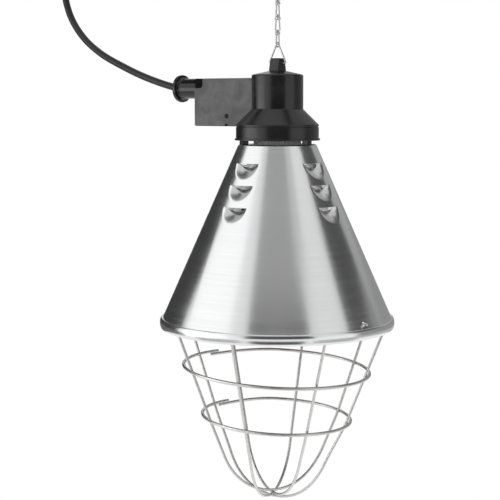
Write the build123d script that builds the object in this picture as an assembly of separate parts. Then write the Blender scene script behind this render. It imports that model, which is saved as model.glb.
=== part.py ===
from build123d import *
import math
import os

# Hanging infrared heat lamp for young animals: S-hook, wire chain, bail, lampholder housing with
# a side box, spun aluminium shade with louvres, wire guard and reflector bulb.
# Millimetres, +Z up. The origin is the hanging point: the inside top of the S-hook.
# Heights named "height" are counted up from the rim, the widest line of the shade's bead.

# S-hook
hook_wire = 2.6
hook_upper_radius = 7.5
hook_lower_radius = 5.5
hook_length = 36.0
hook_tip_angle = 25.0

# Chain of knotted wire links
link_count = 12
chain_wire = 1.4
chain_pitch = 13.2
link_top_radius = 1.6
link_bottom_radius = 2.3
link_play = 0.1
knot_radius = 2.6
knot_height = 2.4
knot_drop = 4.4

# Wire bail in the hanger ear
bail_wire = 1.6
bail_half_width = 8.4
bail_peak_rise = 18.9
bail_peak_radius = 2.0
bail_corner_radius = 1.6
bail_pin_length = 3.8
pin_clearance = 0.05

# Shade
crease_radius = 102.8
crease_height = 5.0
bead_overhang = 3.0
bead_height = 9.6
bead_thickness = 3.6
shade_height = 159.6
shade_top_radius = 34.7
shade_shoulder = 1.6
shade_sheet = 0.8
shade_neck_radius = 26.5

# Louvres pressed in the shade
louvre_columns = 4
louvre_azimuth = -4.3
louvre_rows = 3
louvre_below_shade_top = 16.1
louvre_pitch = 18.75
louvre_half_width = 13.0
louvre_depth = 6.0
louvre_length = 13.5
louvre_toe_half_width = 2.0
louvre_toe_depth = 1.6

# Housing
vent_gap = 3.4
lip_radius = 38.1
lip_height = 1.8
ring_radius = 37.0
ring_height = 13.5
groove_depth = 0.6
groove_height = 0.9
flare_height = 14.2
flare_fillet = 1.0
barrel_radius = 23.0
barrel_height = 30.3
roof_rise = 3.6
housing_wall = 3.0
ear_width = 10.2
ear_base_depth = 13.0
ear_top_depth = 7.7
ear_height = 10.9
pivot_below_ear_top = 4.5
foot_count = 3
foot_azimuth = -31.0
foot_width = 6.0
foot_inner_radius = 28.8
foot_rise = 8.0
foot_screw_margin = 0.8

# Collar and shade clamp
collar_wall = 1.2
collar_height = 11.0
collar_drop = 4.0
clamp_sheet = 1.2
clamp_edge_gap = 0.6
clamp_screw_radius = 1.5
clamp_screw_head_radius = 2.4
clamp_screw_head = 1.8
clamp_screw_bite = 7.0
screw_clearance = 0.05

# Lampholder
holder_radius = 20.0
holder_below_shade_top = 13.6
holder_skirt_length = 38.0
holder_top_radius = 16.0
holder_top_length = 14.0
socket_depth = 34.0
shell_radius = 14.0
shell_sheet = 0.4
shell_length = 28.0
shell_from_mouth = 4.0
fit_clearance = 0.05
contact_radius = 6.0
contact_thickness = 1.2
nipple_radius = 5.0
nipple_bore_radius = 3.2
nipple_sink = 10.0
nut_across_flats = 15.0
nut_height = 4.0
washer_radius = 8.0
washer_height = 2.0
boss_radius = 9.0

# Side box and cover
box_end = -85.4
box_thickness = 22.0
box_below_ring_top = 1.5
box_wall = 2.0
box_corner = 2.0
box_inner_corner = 0.5
cover_sheet = 2.0
cover_notch_width = 9.3
cover_notch_height = 8.7
cover_notch_corner = 3.0
cover_screw_from_end = 36.9
cover_screw_rise = 9.2
cover_screw_radius = 1.4
cover_screw_head_radius = 2.3
cover_screw_head = 0.8
cover_boss_radius = 3.4
bottom_notch_width = 4.0
bottom_notch_height = 2.2
wire_port_radius = 5.5
wire_port_rise = 14.3

# Economy switch
switch_from_wall = 1.0
switch_rise = 11.5
switch_width = 19.0
switch_tall = 13.0
switch_depth = 14.0
bezel_overlap = 1.25
bezel_proud = 1.6
switch_fit = 0.15
rocker_half_width = 7.8
rocker_half_tall = 5.0
rocker_side_gap = 1.1
rocker_end_gap = 0.4
rocker_pivot_below_face = 2.5
rocker_hub_radius = 2.8
rocker_rise_end = 6.1
rocker_rise_middle = 4.4
rocker_skirt = 1.9
rocker_rest_angle = 8.0
rocker_pin_radius = 0.9
rocker_pin_length = 0.9
tab_thickness = 0.8
tab_length = 4.0
tab_tall = 5.0
tab_spacing = 9.0
diode_radius = 1.7
diode_length = 5.2
diode_lead_radius = 0.5

# Cable gland, cord clamp and terminals
cord_diameter = 6.6
gland_below_box_top = 9.0
gland_above_terminal = 7.3
gland_stem_radius = 9.3
gland_stem_length = 22.0
gland_mouth_radius = 12.7
gland_mouth_thickness = 4.0
gland_fillet = 3.0
gland_bell = 2.5
gland_collar_radius = 6.4
gland_collar_length = 8.0
gland_neck_radius = 5.2
cord_fit = 0.05
stub_from_terminal = 9.5
cord_clamp_from_end = 10.0
cord_clamp_width = 6.0
cord_clamp_thickness = 8.2
cord_clamp_split = 0.4
cord_clamp_half_span = 8.2
cord_clamp_screw_spacing = 12.4
cord_clamp_screw_radius = 1.2
cord_clamp_screw_head_radius = 1.9
cord_clamp_screw_head = 1.3
cord_clamp_screw_bite = 4.5
rib_height = 6.0
terminal_pitch = 7.0
terminal_ways = 3
terminal_from_riser = 5.3
terminal_margin = 4.0
terminal_tall = 8.0
terminal_front = -4.0
terminal_screw_radius = 1.6
terminal_screw_proud = 1.0
terminal_screw_bite = 4.0
core_radius = 1.2
core_triad_radius = 1.9
core_triad_angles = (-30, 210, 90)
core_bend = 3.0
lamp_wire_y = 2.6
lamp_wire_above_boss = 0.3
lamp_wire_drop = 4.9
lamp_wire_riser_from_barrel = 13.0
lamp_wire_end_x = -13.0
lamp_wire_from_end = 4.0
lamp_wire_step = 8.0

# Bulb
bulb_length = 143.0
bulb_dome_radius = 110.0
bulb_shoulder_radius = 18.0
bulb_max_radius = 62.5
bulb_neck_radius = 17.0
bulb_neck_length = 5.1
bulb_stub_radius = 12.6
bulb_stub_rise = 7.0
bulb_stub_length = 7.0
bulb_glass_wall = 0.9
cap_radius = 13.2
cap_clear_of_neck = 1.5
cap_thread_length = 25.5
cap_cone_height = 4.0
cap_cone_radius = 6.5
cap_cement = 5.5
tip_radius = 5.0
tip_thickness = 1.25
tip_gap = 0.4
stem_radius = 5.0
stem_length = 58.0
filament_radius = 12.0
filament_wire = 1.2

# Wire guard
guard_wire = 2.2
guard_ring_wire = 2.5
guard_azimuths = (15.0, 62.0, 102.5, -28.0)
guard_offsets = (-5.0, -3.5, 2.0, -0.5)
guard_leans = (0.0, 0.0, 4.4, 0.0)
guard_rim_clearance = 0.48
top_ring_drop = 0.5
upper_ring_drop = 44.0
lower_ring_drop = 87.7
lower_ring_inset = 33.0
leg_end_rise = 1.5
weld_sink = 0.25
guard_bottom_drop = 163.5
guard_cross_play = 0.05
guard_stack_order = (1, 2, 0, 3)
ring_lean = 2.6
ring_lean_azimuth = 127.0
ring_shift_share = 0.2
ring_lap_azimuth = -100.0
ring_end_gap = 8.0
ring_lap_before = 8.0
ring_lap_after = 7.0
lap_sink = 0.1
guard_hook_count = 2
guard_hook_azimuth = 82.0
guard_hook_height = 8.5
guard_hook_reach = 4.0
guard_hook_bend = 2.0
guard_hook_tail = 1.0
guard_hole_clearance = 0.8
guard_hole_cut = 10.0

# Lead, its coil, tie and plug. Route points are (x, y, height).
lead_route = [
    (-111.4, 0.0, 209.3),
    (-136.0, 0.0, 209.3),
    (-164.0, 1.5, 215.5),
    (-190.0, 4.0, 227.0),
    (-214.0, 5.0, 238.5),
    (-240.0, 6.5, 256.0),
    (-261.0, 8.0, 282.0),
    (-270.0, 9.0, 314.0),
    (-262.0, 10.0, 346.0),
    (-238.0, 11.0, 373.0),
    (-200.0, 12.0, 391.0),
    (-154.0, 13.0, 398.0),
    (-105.0, 13.5, 396.0),
    (-60.0, 14.0, 389.5),
    (-26.0, 14.0, 383.0),
    (3.2, 14.0, 380.0),
]
bend_share = 0.45
coil_mean_radius = 36.0
coil_section = 20.0
coil_corner = 6.0
coil_x = 36.0
coil_y = 14.0
coil_height = 344.0
tie_width = 4.8
tie_thickness = 1.2
tie_play = 0.35
tie_corner = 3.0
tie_head = 6.0
plug_relief_length = 24.0
plug_relief_small_radius = 4.7
plug_relief_large_radius = 7.5
plug_sink = 2.0
plug_grip_radius = 12.5
plug_grip_length = 20.0
plug_face_radius = 19.0
plug_face_length = 18.0
plug_edge = 2.0
plug_pin_radius = 2.4
plug_pin_length = 19.0
plug_pin_spacing = 19.0
plug_pin_round = 1.5
plug_pin_bite = 8.0
plug_pin_root_radius = 2.0
plug_pin_shoulder = 0.4
earth_clip_width = 4.0
earth_clip_sheet = 1.0
earth_clip_length = 14.0

# Heights worked out from the pieces that stand on each other
ring_bottom_height = shade_height + vent_gap
ring_top_height = ring_bottom_height + ring_height
barrel_bottom_height = ring_top_height + flare_height
barrel_top_height = barrel_bottom_height + barrel_height
roof_height = barrel_top_height + roof_rise
ear_top_height = roof_height + ear_height
pivot_height = ear_top_height - pivot_below_ear_top
box_bottom_height = ring_top_height - box_below_ring_top
cover_screw_height = box_bottom_height + cover_screw_rise
switch_height = box_bottom_height + switch_rise
lamp_wire_low_height = cover_screw_height + cover_boss_radius + core_radius + lamp_wire_above_boss
terminal_bottom_height = lamp_wire_low_height + lamp_wire_drop
terminal_top_height = terminal_bottom_height + terminal_tall
gland_height = terminal_top_height + gland_above_terminal
box_top_height = gland_height + gland_below_box_top
wire_port_height = barrel_bottom_height + wire_port_rise
holder_mouth_height = shade_height - holder_below_shade_top
holder_skirt_top_height = holder_mouth_height + holder_skirt_length
holder_top_height = holder_skirt_top_height + holder_top_length
socket_end_height = holder_mouth_height + socket_depth
boss_bottom_height = holder_top_height + nut_height + washer_height

# The chain hangs from the hook, the bail from the chain and the lamp from the bail
hook_low_z = hook_wire / 2 - hook_length
link_length = chain_pitch + chain_wire + link_play
first_link_z = hook_low_z + (hook_wire + chain_wire) / 2 + link_play
last_link_low_z = first_link_z - (link_count - 1) * chain_pitch - link_length
bail_apex_z = last_link_low_z + (chain_wire + bail_wire) / 2 + link_play
bail_half_angle = math.atan2(bail_half_width, bail_peak_rise)
bail_peak_cut = bail_peak_radius / math.sin(bail_half_angle) - bail_peak_radius
rim_z = bail_apex_z - (pivot_height + bail_peak_rise - bail_peak_cut)

UPWARD = (Align.CENTER, Align.CENTER, Align.MIN)


def level(height):
    """The Z of a height above the rim."""
    return rim_z + height


def disc(radius, bottom, top):
    """A round block about Z between two heights above the rim."""
    return Pos(0, 0, level(bottom)) * Cylinder(radius, top - bottom, align=UPWARD)


def washer(outer, inner, bottom, top):
    """A flat ring about Z between two heights above the rim."""
    return disc(outer, bottom, top) - disc(inner, bottom, top)


def block(low, high):
    """A box between two corners given as (x, y, height)."""
    size = [top - bottom for bottom, top in zip(low, high)]
    middle = [(top + bottom) / 2 for bottom, top in zip(low, high)]
    return Pos(middle[0], middle[1], level(middle[2])) * Box(*size)


def rod_x(radius, start, end, y, height):
    """A round bar along X."""
    bar = Cylinder(radius, abs(end - start))
    return Pos((start + end) / 2, y, level(height)) * Rot(0, 90, 0) * bar


def rod_y(radius, start, end, x, height):
    """A round bar along Y."""
    bar = Cylinder(radius, abs(end - start))
    return Pos(x, (start + end) / 2, level(height)) * Rot(90, 0, 0) * bar


def outline(points):
    """A flat face from (radius, height) points, standing in the XZ plane."""
    return Pos(0, 0, rim_z) * (Plane.XZ * make_face(Polyline(*points, close=True)))


def turned(face):
    """A solid turned about Z from a face in the XZ plane."""
    return revolve(face, axis=Axis.Z)


def bent_wire(path, diameter):
    """A round wire along a path of straight runs and tangent arcs."""
    start = Plane(origin=path @ 0, z_dir=path % 0)
    return sweep(start * Circle(diameter / 2), path=path)


def at_azimuth(shape, azimuth):
    """Turn a shape modelled on the -Y side about Z, towards +X."""
    return Rot(0, 0, azimuth) * shape


def save(shape, node):
    """Write one node."""
    export_step(shape, f"parts/{node}.step")


os.makedirs("parts", exist_ok=True)


def make_hook():
    """An S of round wire in the YZ plane: an upper and a lower bend joined by their inner tangent."""
    upper_z = hook_wire / 2 - hook_upper_radius
    lower_z = hook_low_z + hook_lower_radius
    slope = math.degrees(math.asin((hook_upper_radius + hook_lower_radius) / (upper_z - lower_z)))
    upper = CenterArc((0, upper_z), hook_upper_radius, -slope, 180 + hook_tip_angle + slope)
    lower = CenterArc((0, lower_z), hook_lower_radius, 180 - slope, 180 + hook_tip_angle + slope)
    shank = Line(upper @ 0, lower @ 0)
    path = Plane.YZ * Wire([upper, shank, lower])
    return bent_wire(path, hook_wire)


def make_link():
    """One chain link in the XZ plane, its top wire at the origin: a loop knotted under its narrow end."""
    span = link_length - link_top_radius - link_bottom_radius
    lean = math.degrees(math.asin((link_bottom_radius - link_top_radius) / span))
    top_centre = (0, -link_top_radius)
    low_centre = (0, -link_length + link_bottom_radius)
    top = CenterArc(top_centre, link_top_radius, lean, 180 - 2 * lean)
    low = CenterArc(low_centre, link_bottom_radius, 180 - lean, 180 + 2 * lean)
    loop = Plane.XZ * Wire([top, Line(top @ 1, low @ 0), low, Line(low @ 1, top @ 0)])
    knot = Pos(0, 0, -knot_drop) * Cylinder(knot_radius, knot_height)
    return bent_wire(loop, chain_wire) + knot


def make_bail():
    """A triangle of wire in the XZ plane whose two ends turn inwards as pivot pins."""
    pin_tip = ear_width / 2 - bail_pin_length
    corners = [
        (-pin_tip, pivot_height),
        (-bail_half_width, pivot_height),
        (0, pivot_height + bail_peak_rise),
        (bail_half_width, pivot_height),
        (pin_tip, pivot_height),
    ]
    radii = [bail_corner_radius, bail_peak_radius, bail_corner_radius]
    path = Pos(0, 0, rim_z) * (Plane.XZ * FilletPolyline(*corners, radius=radii))
    return bent_wire(path, bail_wire)


save(make_hook(), "s_hook")
link = make_link()
wide_end_up = Pos(0, 0, -link_length) * (Rot(180, 0, 0) * link)
for number in range(link_count):
    place = Pos(0, 0, first_link_z - number * chain_pitch) * Rot(0, 0, 90 * (number % 2))
    hanging = wide_end_up if number == 0 else link
    save(place * hanging, f"chain_link_{number + 1:02d}")
save(make_bail(), "bail")

# Housing, collar and the parts that hold the shade

flare_slope = math.atan2(flare_height, ring_radius - barrel_radius)


def housing_outer():
    """The housing's outside, without the ear."""
    points = [
        (0, ring_bottom_height),
        (lip_radius, ring_bottom_height),
        (lip_radius, ring_bottom_height + lip_height),
        (ring_radius, ring_bottom_height + lip_height),
        (ring_radius, ring_top_height),
        (barrel_radius, barrel_bottom_height),
        (barrel_radius, barrel_top_height),
        (ear_base_depth / 2, roof_height),
        (0, roof_height),
    ]
    face = outline(points)
    flare_corner = (barrel_radius, 0, level(barrel_bottom_height))
    face = fillet(face.vertices().sort_by_distance(flare_corner)[0], flare_fillet)
    return turned(face)


def housing_inner():
    """The hollow inside the housing."""
    wall_along_flare = housing_wall / math.sin(flare_slope)
    roof_under = barrel_top_height - housing_wall
    points = [
        (0, ring_bottom_height),
        (ring_radius - housing_wall, ring_bottom_height),
        (ring_radius - housing_wall, ring_top_height - wall_along_flare / 2),
        (barrel_radius - housing_wall, barrel_bottom_height - wall_along_flare / 2),
        (barrel_radius - housing_wall, roof_under),
        (0, roof_under),
    ]
    return turned(outline(points))


def make_ear():
    """The hanger ear: a block that narrows upwards, bored along X for the bail's pins."""
    lower = Plane.XY.offset(level(roof_height) - roof_rise / 2) * Rectangle(ear_width, ear_base_depth)
    upper = Plane.XY.offset(level(ear_top_height)) * Rectangle(ear_width, ear_top_depth)
    return loft([lower, upper])


def make_foot():
    """One foot: a rib inside the ring that stands on the shade's flange, at the -Y side."""
    outer = ring_radius - housing_wall / 2
    return block(
        (-foot_width / 2, -outer, shade_height),
        (foot_width / 2, -foot_inner_radius, ring_bottom_height + foot_rise),
    )


screw_ring_radius = foot_inner_radius + clamp_screw_radius + foot_screw_margin


def foot_positions():
    """The azimuths of the feet and their screws."""
    return [foot_azimuth + number * 360 / foot_count for number in range(foot_count)]


def make_housing():
    """The moulded cap: hollow barrel, flare and ring, ear, feet, boss for the nipple, wire port."""
    boss_top = barrel_top_height - housing_wall
    nipple_top = boss_bottom_height + nipple_sink
    body = housing_outer() - housing_inner()
    body += make_ear()
    body += disc(boss_radius, boss_bottom_height, boss_top + roof_rise / 2)
    groove_top = ring_top_height - groove_height
    groove_low = groove_top - groove_height
    body -= washer(lip_radius, ring_radius - groove_depth, groove_low, groove_top)
    for azimuth in foot_positions():
        body += at_azimuth(make_foot(), azimuth)
        hole = disc(clamp_screw_radius + screw_clearance, shade_height, shade_height + clamp_screw_bite)
        body -= at_azimuth(Pos(0, -screw_ring_radius, 0) * hole, azimuth)
    body -= disc(nipple_radius + fit_clearance, boss_bottom_height, nipple_top)
    body -= rod_x(bail_wire / 2 + pin_clearance, -ear_width, ear_width, 0, pivot_height)
    body -= rod_x(wire_port_radius, -2 * barrel_radius, -barrel_radius / 2, 0, wire_port_height)
    return body


def make_clamp_screws():
    """Screws that pull the clamp ring up against the feet, heads below the ring."""
    head_top = shade_height - shade_sheet - clamp_sheet
    tip = shade_height + clamp_screw_bite - clamp_screw_radius
    shank = disc(clamp_screw_radius, head_top, tip)
    head = disc(clamp_screw_head_radius, head_top - clamp_screw_head, head_top)
    screw = Pos(0, -screw_ring_radius, 0) * (shank + head)
    return Compound([at_azimuth(screw, azimuth) for azimuth in foot_positions()])


def drilled(shape, bottom, top):
    """Cut the clamp screw holes through a flat piece."""
    for azimuth in foot_positions():
        hole = disc(clamp_screw_radius + screw_clearance, bottom, top)
        shape -= at_azimuth(Pos(0, -screw_ring_radius, 0) * hole, azimuth)
    return shape


clamp_top_height = shade_height - shade_sheet
clamp_low_height = clamp_top_height - clamp_sheet
clamp_outer = shade_top_radius - shade_shoulder - clamp_edge_gap
clamp_ring = drilled(
    washer(clamp_outer, shade_neck_radius, clamp_low_height, clamp_top_height),
    clamp_low_height,
    clamp_top_height,
)
collar_inner = holder_radius + fit_clearance
collar_outer = collar_inner + collar_wall
collar_low_height = shade_height - collar_drop
collar = washer(collar_outer, collar_inner, collar_low_height, collar_low_height + collar_height)
save(make_housing(), "housing")
save(collar, "vent_collar")
save(clamp_ring, "shade_clamp_ring")
save(make_clamp_screws(), "clamp_screws")

# Shade with its louvres, bead and holes

rim_radius = crease_radius + bead_overhang
cone_run = shade_height - crease_height
cone_tangent = (crease_radius - shade_top_radius) / cone_run
cone_angle = math.atan(cone_tangent)


def cone_radius(height):
    """The outside radius of the cone at a height above the rim."""
    return crease_radius - (height - crease_height) * cone_tangent


def cone_solid(inset, bottom):
    """The filled cone, with its rounded shoulder, a sheet's thickness in or not."""
    skew = inset / math.cos(cone_angle)
    top = shade_height - inset
    points = [
        (0, bottom),
        (cone_radius(bottom) - skew, bottom),
        (cone_radius(top) - skew, top),
        (0, top),
    ]
    face = outline(points)
    shoulder = (cone_radius(top) - skew, 0, level(top))
    face = fillet(face.vertices().sort_by_distance(shoulder)[0], shade_shoulder - inset)
    return turned(face)


def louvre_horn(height, inset):
    """One louvre's dent: an elliptic horn from its open slit down to its toe, on the -Y side."""
    radius = cone_radius(height)
    sag = radius - math.sqrt(radius**2 - louvre_half_width**2)
    up_slope = (0, math.sin(cone_angle), math.cos(cone_angle))
    slit = Plane(origin=(0, -radius, level(height)), x_dir=(1, 0, 0), z_dir=up_slope)
    mouth = Ellipse(louvre_half_width - inset, louvre_depth - sag - inset)
    toe = Ellipse(louvre_toe_half_width - inset, louvre_toe_depth - inset)
    upper = slit * Pos(0, sag) * mouth
    lower = slit * Pos(0, 0, -louvre_length) * toe
    return loft([lower, upper])


def make_shade():
    """Spun cone with a neck flange, louvres pressed inwards, a rolled bead and holes."""
    inside = cone_solid(shade_sheet, 0)
    bead_middle = rim_radius - bead_thickness / 2
    bead = turned(Pos(bead_middle, 0, rim_z) * (Plane.XZ * Ellipse(bead_thickness / 2, bead_height / 2)))
    shade = cone_solid(0, crease_height / 2) - inside
    shade += bead
    for row in range(louvre_rows):
        height = shade_height - louvre_below_shade_top - row * louvre_pitch
        dent = louvre_horn(height, 0) & inside
        hollow = louvre_horn(height, shade_sheet)
        for column in range(louvre_columns):
            azimuth = louvre_azimuth + column * 360 / louvre_columns
            shade = shade + at_azimuth(dent, azimuth) - at_azimuth(hollow, azimuth)
    shade -= disc(shade_neck_radius, clamp_low_height, ring_bottom_height)
    hole_radius = guard_wire / 2 + guard_hole_clearance
    reach = cone_radius(guard_hook_height)
    for number in range(guard_hook_count):
        azimuth = guard_hook_azimuth + number * 360 / guard_hook_count
        hole = rod_y(hole_radius, -reach - guard_hole_cut, guard_hole_cut - reach, 0, guard_hook_height)
        shade -= at_azimuth(hole, azimuth)
    return drilled(shade, clamp_low_height, ring_bottom_height)


save(make_shade(), "shade")

# Lampholder and its fixing

shell_low_height = holder_mouth_height + shell_from_mouth
nipple_low_height = holder_top_height - nipple_sink
nipple_top_height = boss_bottom_height + nipple_sink


def make_lampholder():
    """Porcelain body with the socket below and the nipple's bore above."""
    body = disc(holder_radius, holder_mouth_height, holder_skirt_top_height)
    body += disc(holder_top_radius, holder_skirt_top_height, holder_top_height)
    body -= disc(shell_radius + fit_clearance, holder_mouth_height, socket_end_height)
    body -= disc(nipple_radius + fit_clearance, nipple_low_height, holder_top_height)
    return body


def make_nut():
    """A hexagon lock nut on the nipple."""
    hexagon = RegularPolygon(nut_across_flats / 2, 6, major_radius=False)
    hexagon -= Circle(nipple_radius + fit_clearance)
    return Pos(0, 0, level(holder_top_height)) * extrude(hexagon, nut_height)


shell = washer(shell_radius, shell_radius - shell_sheet, shell_low_height, shell_low_height + shell_length)
contact = disc(contact_radius, socket_end_height - contact_thickness, socket_end_height)
nipple = washer(nipple_radius, nipple_bore_radius, nipple_low_height, nipple_top_height)
lock_washer = washer(
    washer_radius,
    nipple_radius + fit_clearance,
    holder_top_height + nut_height,
    boss_bottom_height,
)
save(make_lampholder(), "lampholder")
save(shell, "screw_shell")
save(contact, "centre_contact")
save(nipple, "nipple")
save(make_nut(), "lock_nut")
save(lock_washer, "lock_washer")

# Side box, cover, switch and what is inside

box_front = -box_thickness / 2
box_back = box_thickness / 2
clamp_x = box_end + cord_clamp_from_end
switch_x = box_end + box_wall + switch_from_wall + switch_width / 2
cover_screw_x = box_end + cover_screw_from_end
lamp_wire_riser_x = -barrel_radius - lamp_wire_riser_from_barrel
terminal_end_x = lamp_wire_riser_x - core_radius - terminal_from_riser
terminal_x = terminal_end_x - terminal_margin - (terminal_ways - 1) * terminal_pitch
cord_radius = cord_diameter / 2
rib_top_height = gland_height - cord_radius - cord_fit
recess_half_width = rocker_half_width + rocker_side_gap
recess_half_tall = rocker_half_tall + rocker_end_gap
rocker_pivot_y = box_back - rocker_pivot_below_face


def box_slab(front, back, inset, corner):
    """The box's outline between two Y values, cut to the housing, its outer corners rounded."""
    low = (box_end + inset, front, box_bottom_height + inset)
    high = (0, back, box_top_height - inset)
    slab = block(low, high)
    edges = slab.edges().filter_by(Axis.Y).group_by(Axis.X)[0]
    slab = fillet(edges, corner)
    return slab - housing_outer()


def make_box():
    """The moulded box: walls on all sides but the front, a rib for the cord clamp, a screw boss."""
    front = box_front + cover_sheet
    back = box_back - box_wall
    shell = box_slab(front, box_back, 0, box_corner)
    shell -= box_slab(front, back, box_wall, box_inner_corner)
    rib_low = (clamp_x, -cord_clamp_half_span, rib_top_height - rib_height)
    rib_high = (clamp_x + cord_clamp_width, back + box_wall / 2, rib_top_height)
    shell += block(rib_low, rib_high)
    shell += rod_y(cover_boss_radius, front, back + box_wall / 2, cover_screw_x, cover_screw_height)
    shell -= rod_y(cover_screw_radius + screw_clearance, front, 0, cover_screw_x, cover_screw_height)
    shell -= rod_x(gland_neck_radius + fit_clearance, box_end, box_end + box_wall, 0, gland_height)
    cut_x = switch_width / 2 + switch_fit
    cut_z = switch_tall / 2 + switch_fit
    shell -= block(
        (switch_x - cut_x, back, switch_height - cut_z),
        (switch_x + cut_x, box_back, switch_height + cut_z),
    )
    for side in (-1, 1):
        y = side * cord_clamp_screw_spacing / 2
        hole = Cylinder(cord_clamp_screw_radius + screw_clearance, 2 * cord_clamp_screw_bite)
        shell -= Pos(clamp_x + cord_clamp_width / 2, y, level(rib_top_height)) * hole
    return shell


def make_cover():
    """The flat front cover, with a round-cornered notch by the gland and a nick in its lower edge."""
    cover = box_slab(box_front, box_front + cover_sheet, 0, box_corner)
    notch_low = (box_end - box_corner, box_front, box_top_height - cover_notch_height)
    notch_high = (
        box_end + cover_notch_width,
        box_front + cover_sheet,
        box_top_height + box_corner,
    )
    notch = block(notch_low, notch_high)
    inner_edges = notch.edges().filter_by(Axis.Y).group_by(Axis.X)[-1]
    lower_edge = inner_edges.sort_by(Axis.Z)[0]
    cover -= fillet(lower_edge, cover_notch_corner)
    cover -= block(
        (cover_screw_x - bottom_notch_width / 2, box_front, box_bottom_height),
        (
            cover_screw_x + bottom_notch_width / 2,
            box_front + cover_sheet,
            box_bottom_height + bottom_notch_height,
        ),
    )
    shank_hole = cover_screw_radius + screw_clearance
    head_hole = cover_screw_head_radius + screw_clearance
    cover_back = box_front + cover_sheet
    sink = box_front + cover_screw_head
    cover -= rod_y(shank_hole, box_front, cover_back, cover_screw_x, cover_screw_height)
    return cover - rod_y(head_hole, box_front, sink, cover_screw_x, cover_screw_height)


def make_cover_screw():
    """A countersunk screw flush with the cover."""
    sink = box_front + cover_screw_head
    shank_end = -screw_clearance
    shank = rod_y(cover_screw_radius, sink, shank_end, cover_screw_x, cover_screw_height)
    return shank + rod_y(cover_screw_head_radius, box_front, sink, cover_screw_x, cover_screw_height)


def make_switch():
    """The switch body in the back wall, with a bezel, a recess for the rocker and two solder tabs."""
    back_end = box_back - switch_depth
    half_x = switch_width / 2
    half_z = switch_tall / 2
    body = block(
        (switch_x - half_x, back_end, switch_height - half_z),
        (switch_x + half_x, box_back, switch_height + half_z),
    )
    bezel_face = box_back + bezel_proud
    bezel_x = half_x + bezel_overlap
    bezel_z = half_z + bezel_overlap
    body += block(
        (switch_x - bezel_x, box_back, switch_height - bezel_z),
        (switch_x + bezel_x, bezel_face, switch_height + bezel_z),
    )
    recess_floor = rocker_pivot_y - rocker_hub_radius - rocker_end_gap
    body -= block(
        (switch_x - recess_half_width, recess_floor, switch_height - recess_half_tall),
        (switch_x + recess_half_width, bezel_face, switch_height + recess_half_tall),
    )
    pin_span = 2 * (rocker_half_tall + rocker_pin_length + pin_clearance)
    pin_hole = Cylinder(rocker_pin_radius + pin_clearance, pin_span)
    body -= Pos(switch_x, rocker_pivot_y, level(switch_height)) * pin_hole
    for side in (-1, 1):
        middle = switch_x + side * tab_spacing / 2
        body += block(
            (middle - tab_thickness / 2, back_end - tab_length, switch_height - tab_tall / 2),
            (middle + tab_thickness / 2, back_end, switch_height + tab_tall / 2),
        )
    return body


def make_rocker():
    """The rocker: two faces that meet in a shallow valley, a round hub and pivot pins along Z."""
    points = [
        (-rocker_half_width, rocker_skirt),
        (-rocker_half_width, rocker_rise_end),
        (0, rocker_rise_middle),
        (rocker_half_width, rocker_rise_end),
        (rocker_half_width, rocker_skirt),
        (0, 0),
    ]
    paddle = extrude(make_face(Polyline(*points, close=True)), rocker_half_tall, both=True)
    hub = Cylinder(rocker_hub_radius, 2 * rocker_half_tall)
    pins = Cylinder(rocker_pin_radius, 2 * (rocker_half_tall + rocker_pin_length))
    rocker = Rot(0, 0, -rocker_rest_angle) * (paddle + hub + pins)
    return Pos(switch_x, rocker_pivot_y, level(switch_height)) * rocker


def make_diode():
    """The diode between the switch's tabs, for half power."""
    y = box_back - switch_depth - tab_length / 2
    reach = tab_spacing / 2 - tab_thickness / 2
    half = diode_length / 2
    leads = rod_x(diode_lead_radius, switch_x - reach, switch_x + reach, y, switch_height)
    return leads + rod_x(diode_radius, switch_x - half, switch_x + half, y, switch_height)


save(make_box(), "switch_box")
save(make_cover(), "box_cover")
save(make_cover_screw(), "cover_screw")
save(make_switch(), "switch_body")
save(make_rocker(), "rocker")
save(make_diode(), "diode")

# Cable gland, cord clamp, terminals and inner wires

mouth_x = box_end - gland_stem_length - gland_mouth_thickness
stub_end_x = terminal_x - stub_from_terminal


def make_gland():
    """The bell-mouthed gland, turned about the cord: collar inside the box, neck, stem and mouth."""
    bore = cord_radius + cord_fit
    stem_x = box_end - gland_stem_length
    points = [
        (box_end + box_wall + gland_collar_length, bore),
        (box_end + box_wall + gland_collar_length, gland_collar_radius),
        (box_end + box_wall, gland_collar_radius),
        (box_end + box_wall, gland_neck_radius),
        (box_end, gland_neck_radius),
        (box_end, gland_stem_radius),
        (stem_x, gland_stem_radius),
        (stem_x, gland_mouth_radius),
        (mouth_x, gland_mouth_radius),
        (mouth_x, bore),
    ]
    face = make_face(Polyline(*points, close=True))
    inner_corner = face.vertices().sort_by_distance((stem_x, gland_stem_radius, 0))[0]
    face = fillet(inner_corner, gland_fillet)
    mouth_corners = face.vertices().group_by(Axis.X)[0]
    face = fillet(mouth_corners.sort_by(Axis.Y)[-1], gland_mouth_thickness / 2)
    bell_corner = face.vertices().group_by(Axis.X)[0].sort_by(Axis.Y)[0]
    face = fillet(bell_corner, gland_bell)
    return Pos(0, 0, level(gland_height)) * revolve(face, axis=Axis.X)


def make_cord_clamp():
    """The strap over the cord, with a groove and two screw holes."""
    low = rib_top_height + cord_clamp_split
    strap = block(
        (clamp_x, -cord_clamp_half_span, low),
        (clamp_x + cord_clamp_width, cord_clamp_half_span, low + cord_clamp_thickness),
    )
    strap -= rod_x(cord_radius + cord_fit, clamp_x, clamp_x + cord_clamp_width, 0, gland_height)
    for side in (-1, 1):
        y = side * cord_clamp_screw_spacing / 2
        hole = Cylinder(cord_clamp_screw_radius + screw_clearance, 2 * cord_clamp_thickness)
        strap -= Pos(clamp_x + cord_clamp_width / 2, y, level(low + cord_clamp_thickness / 2)) * hole
    return strap


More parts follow.
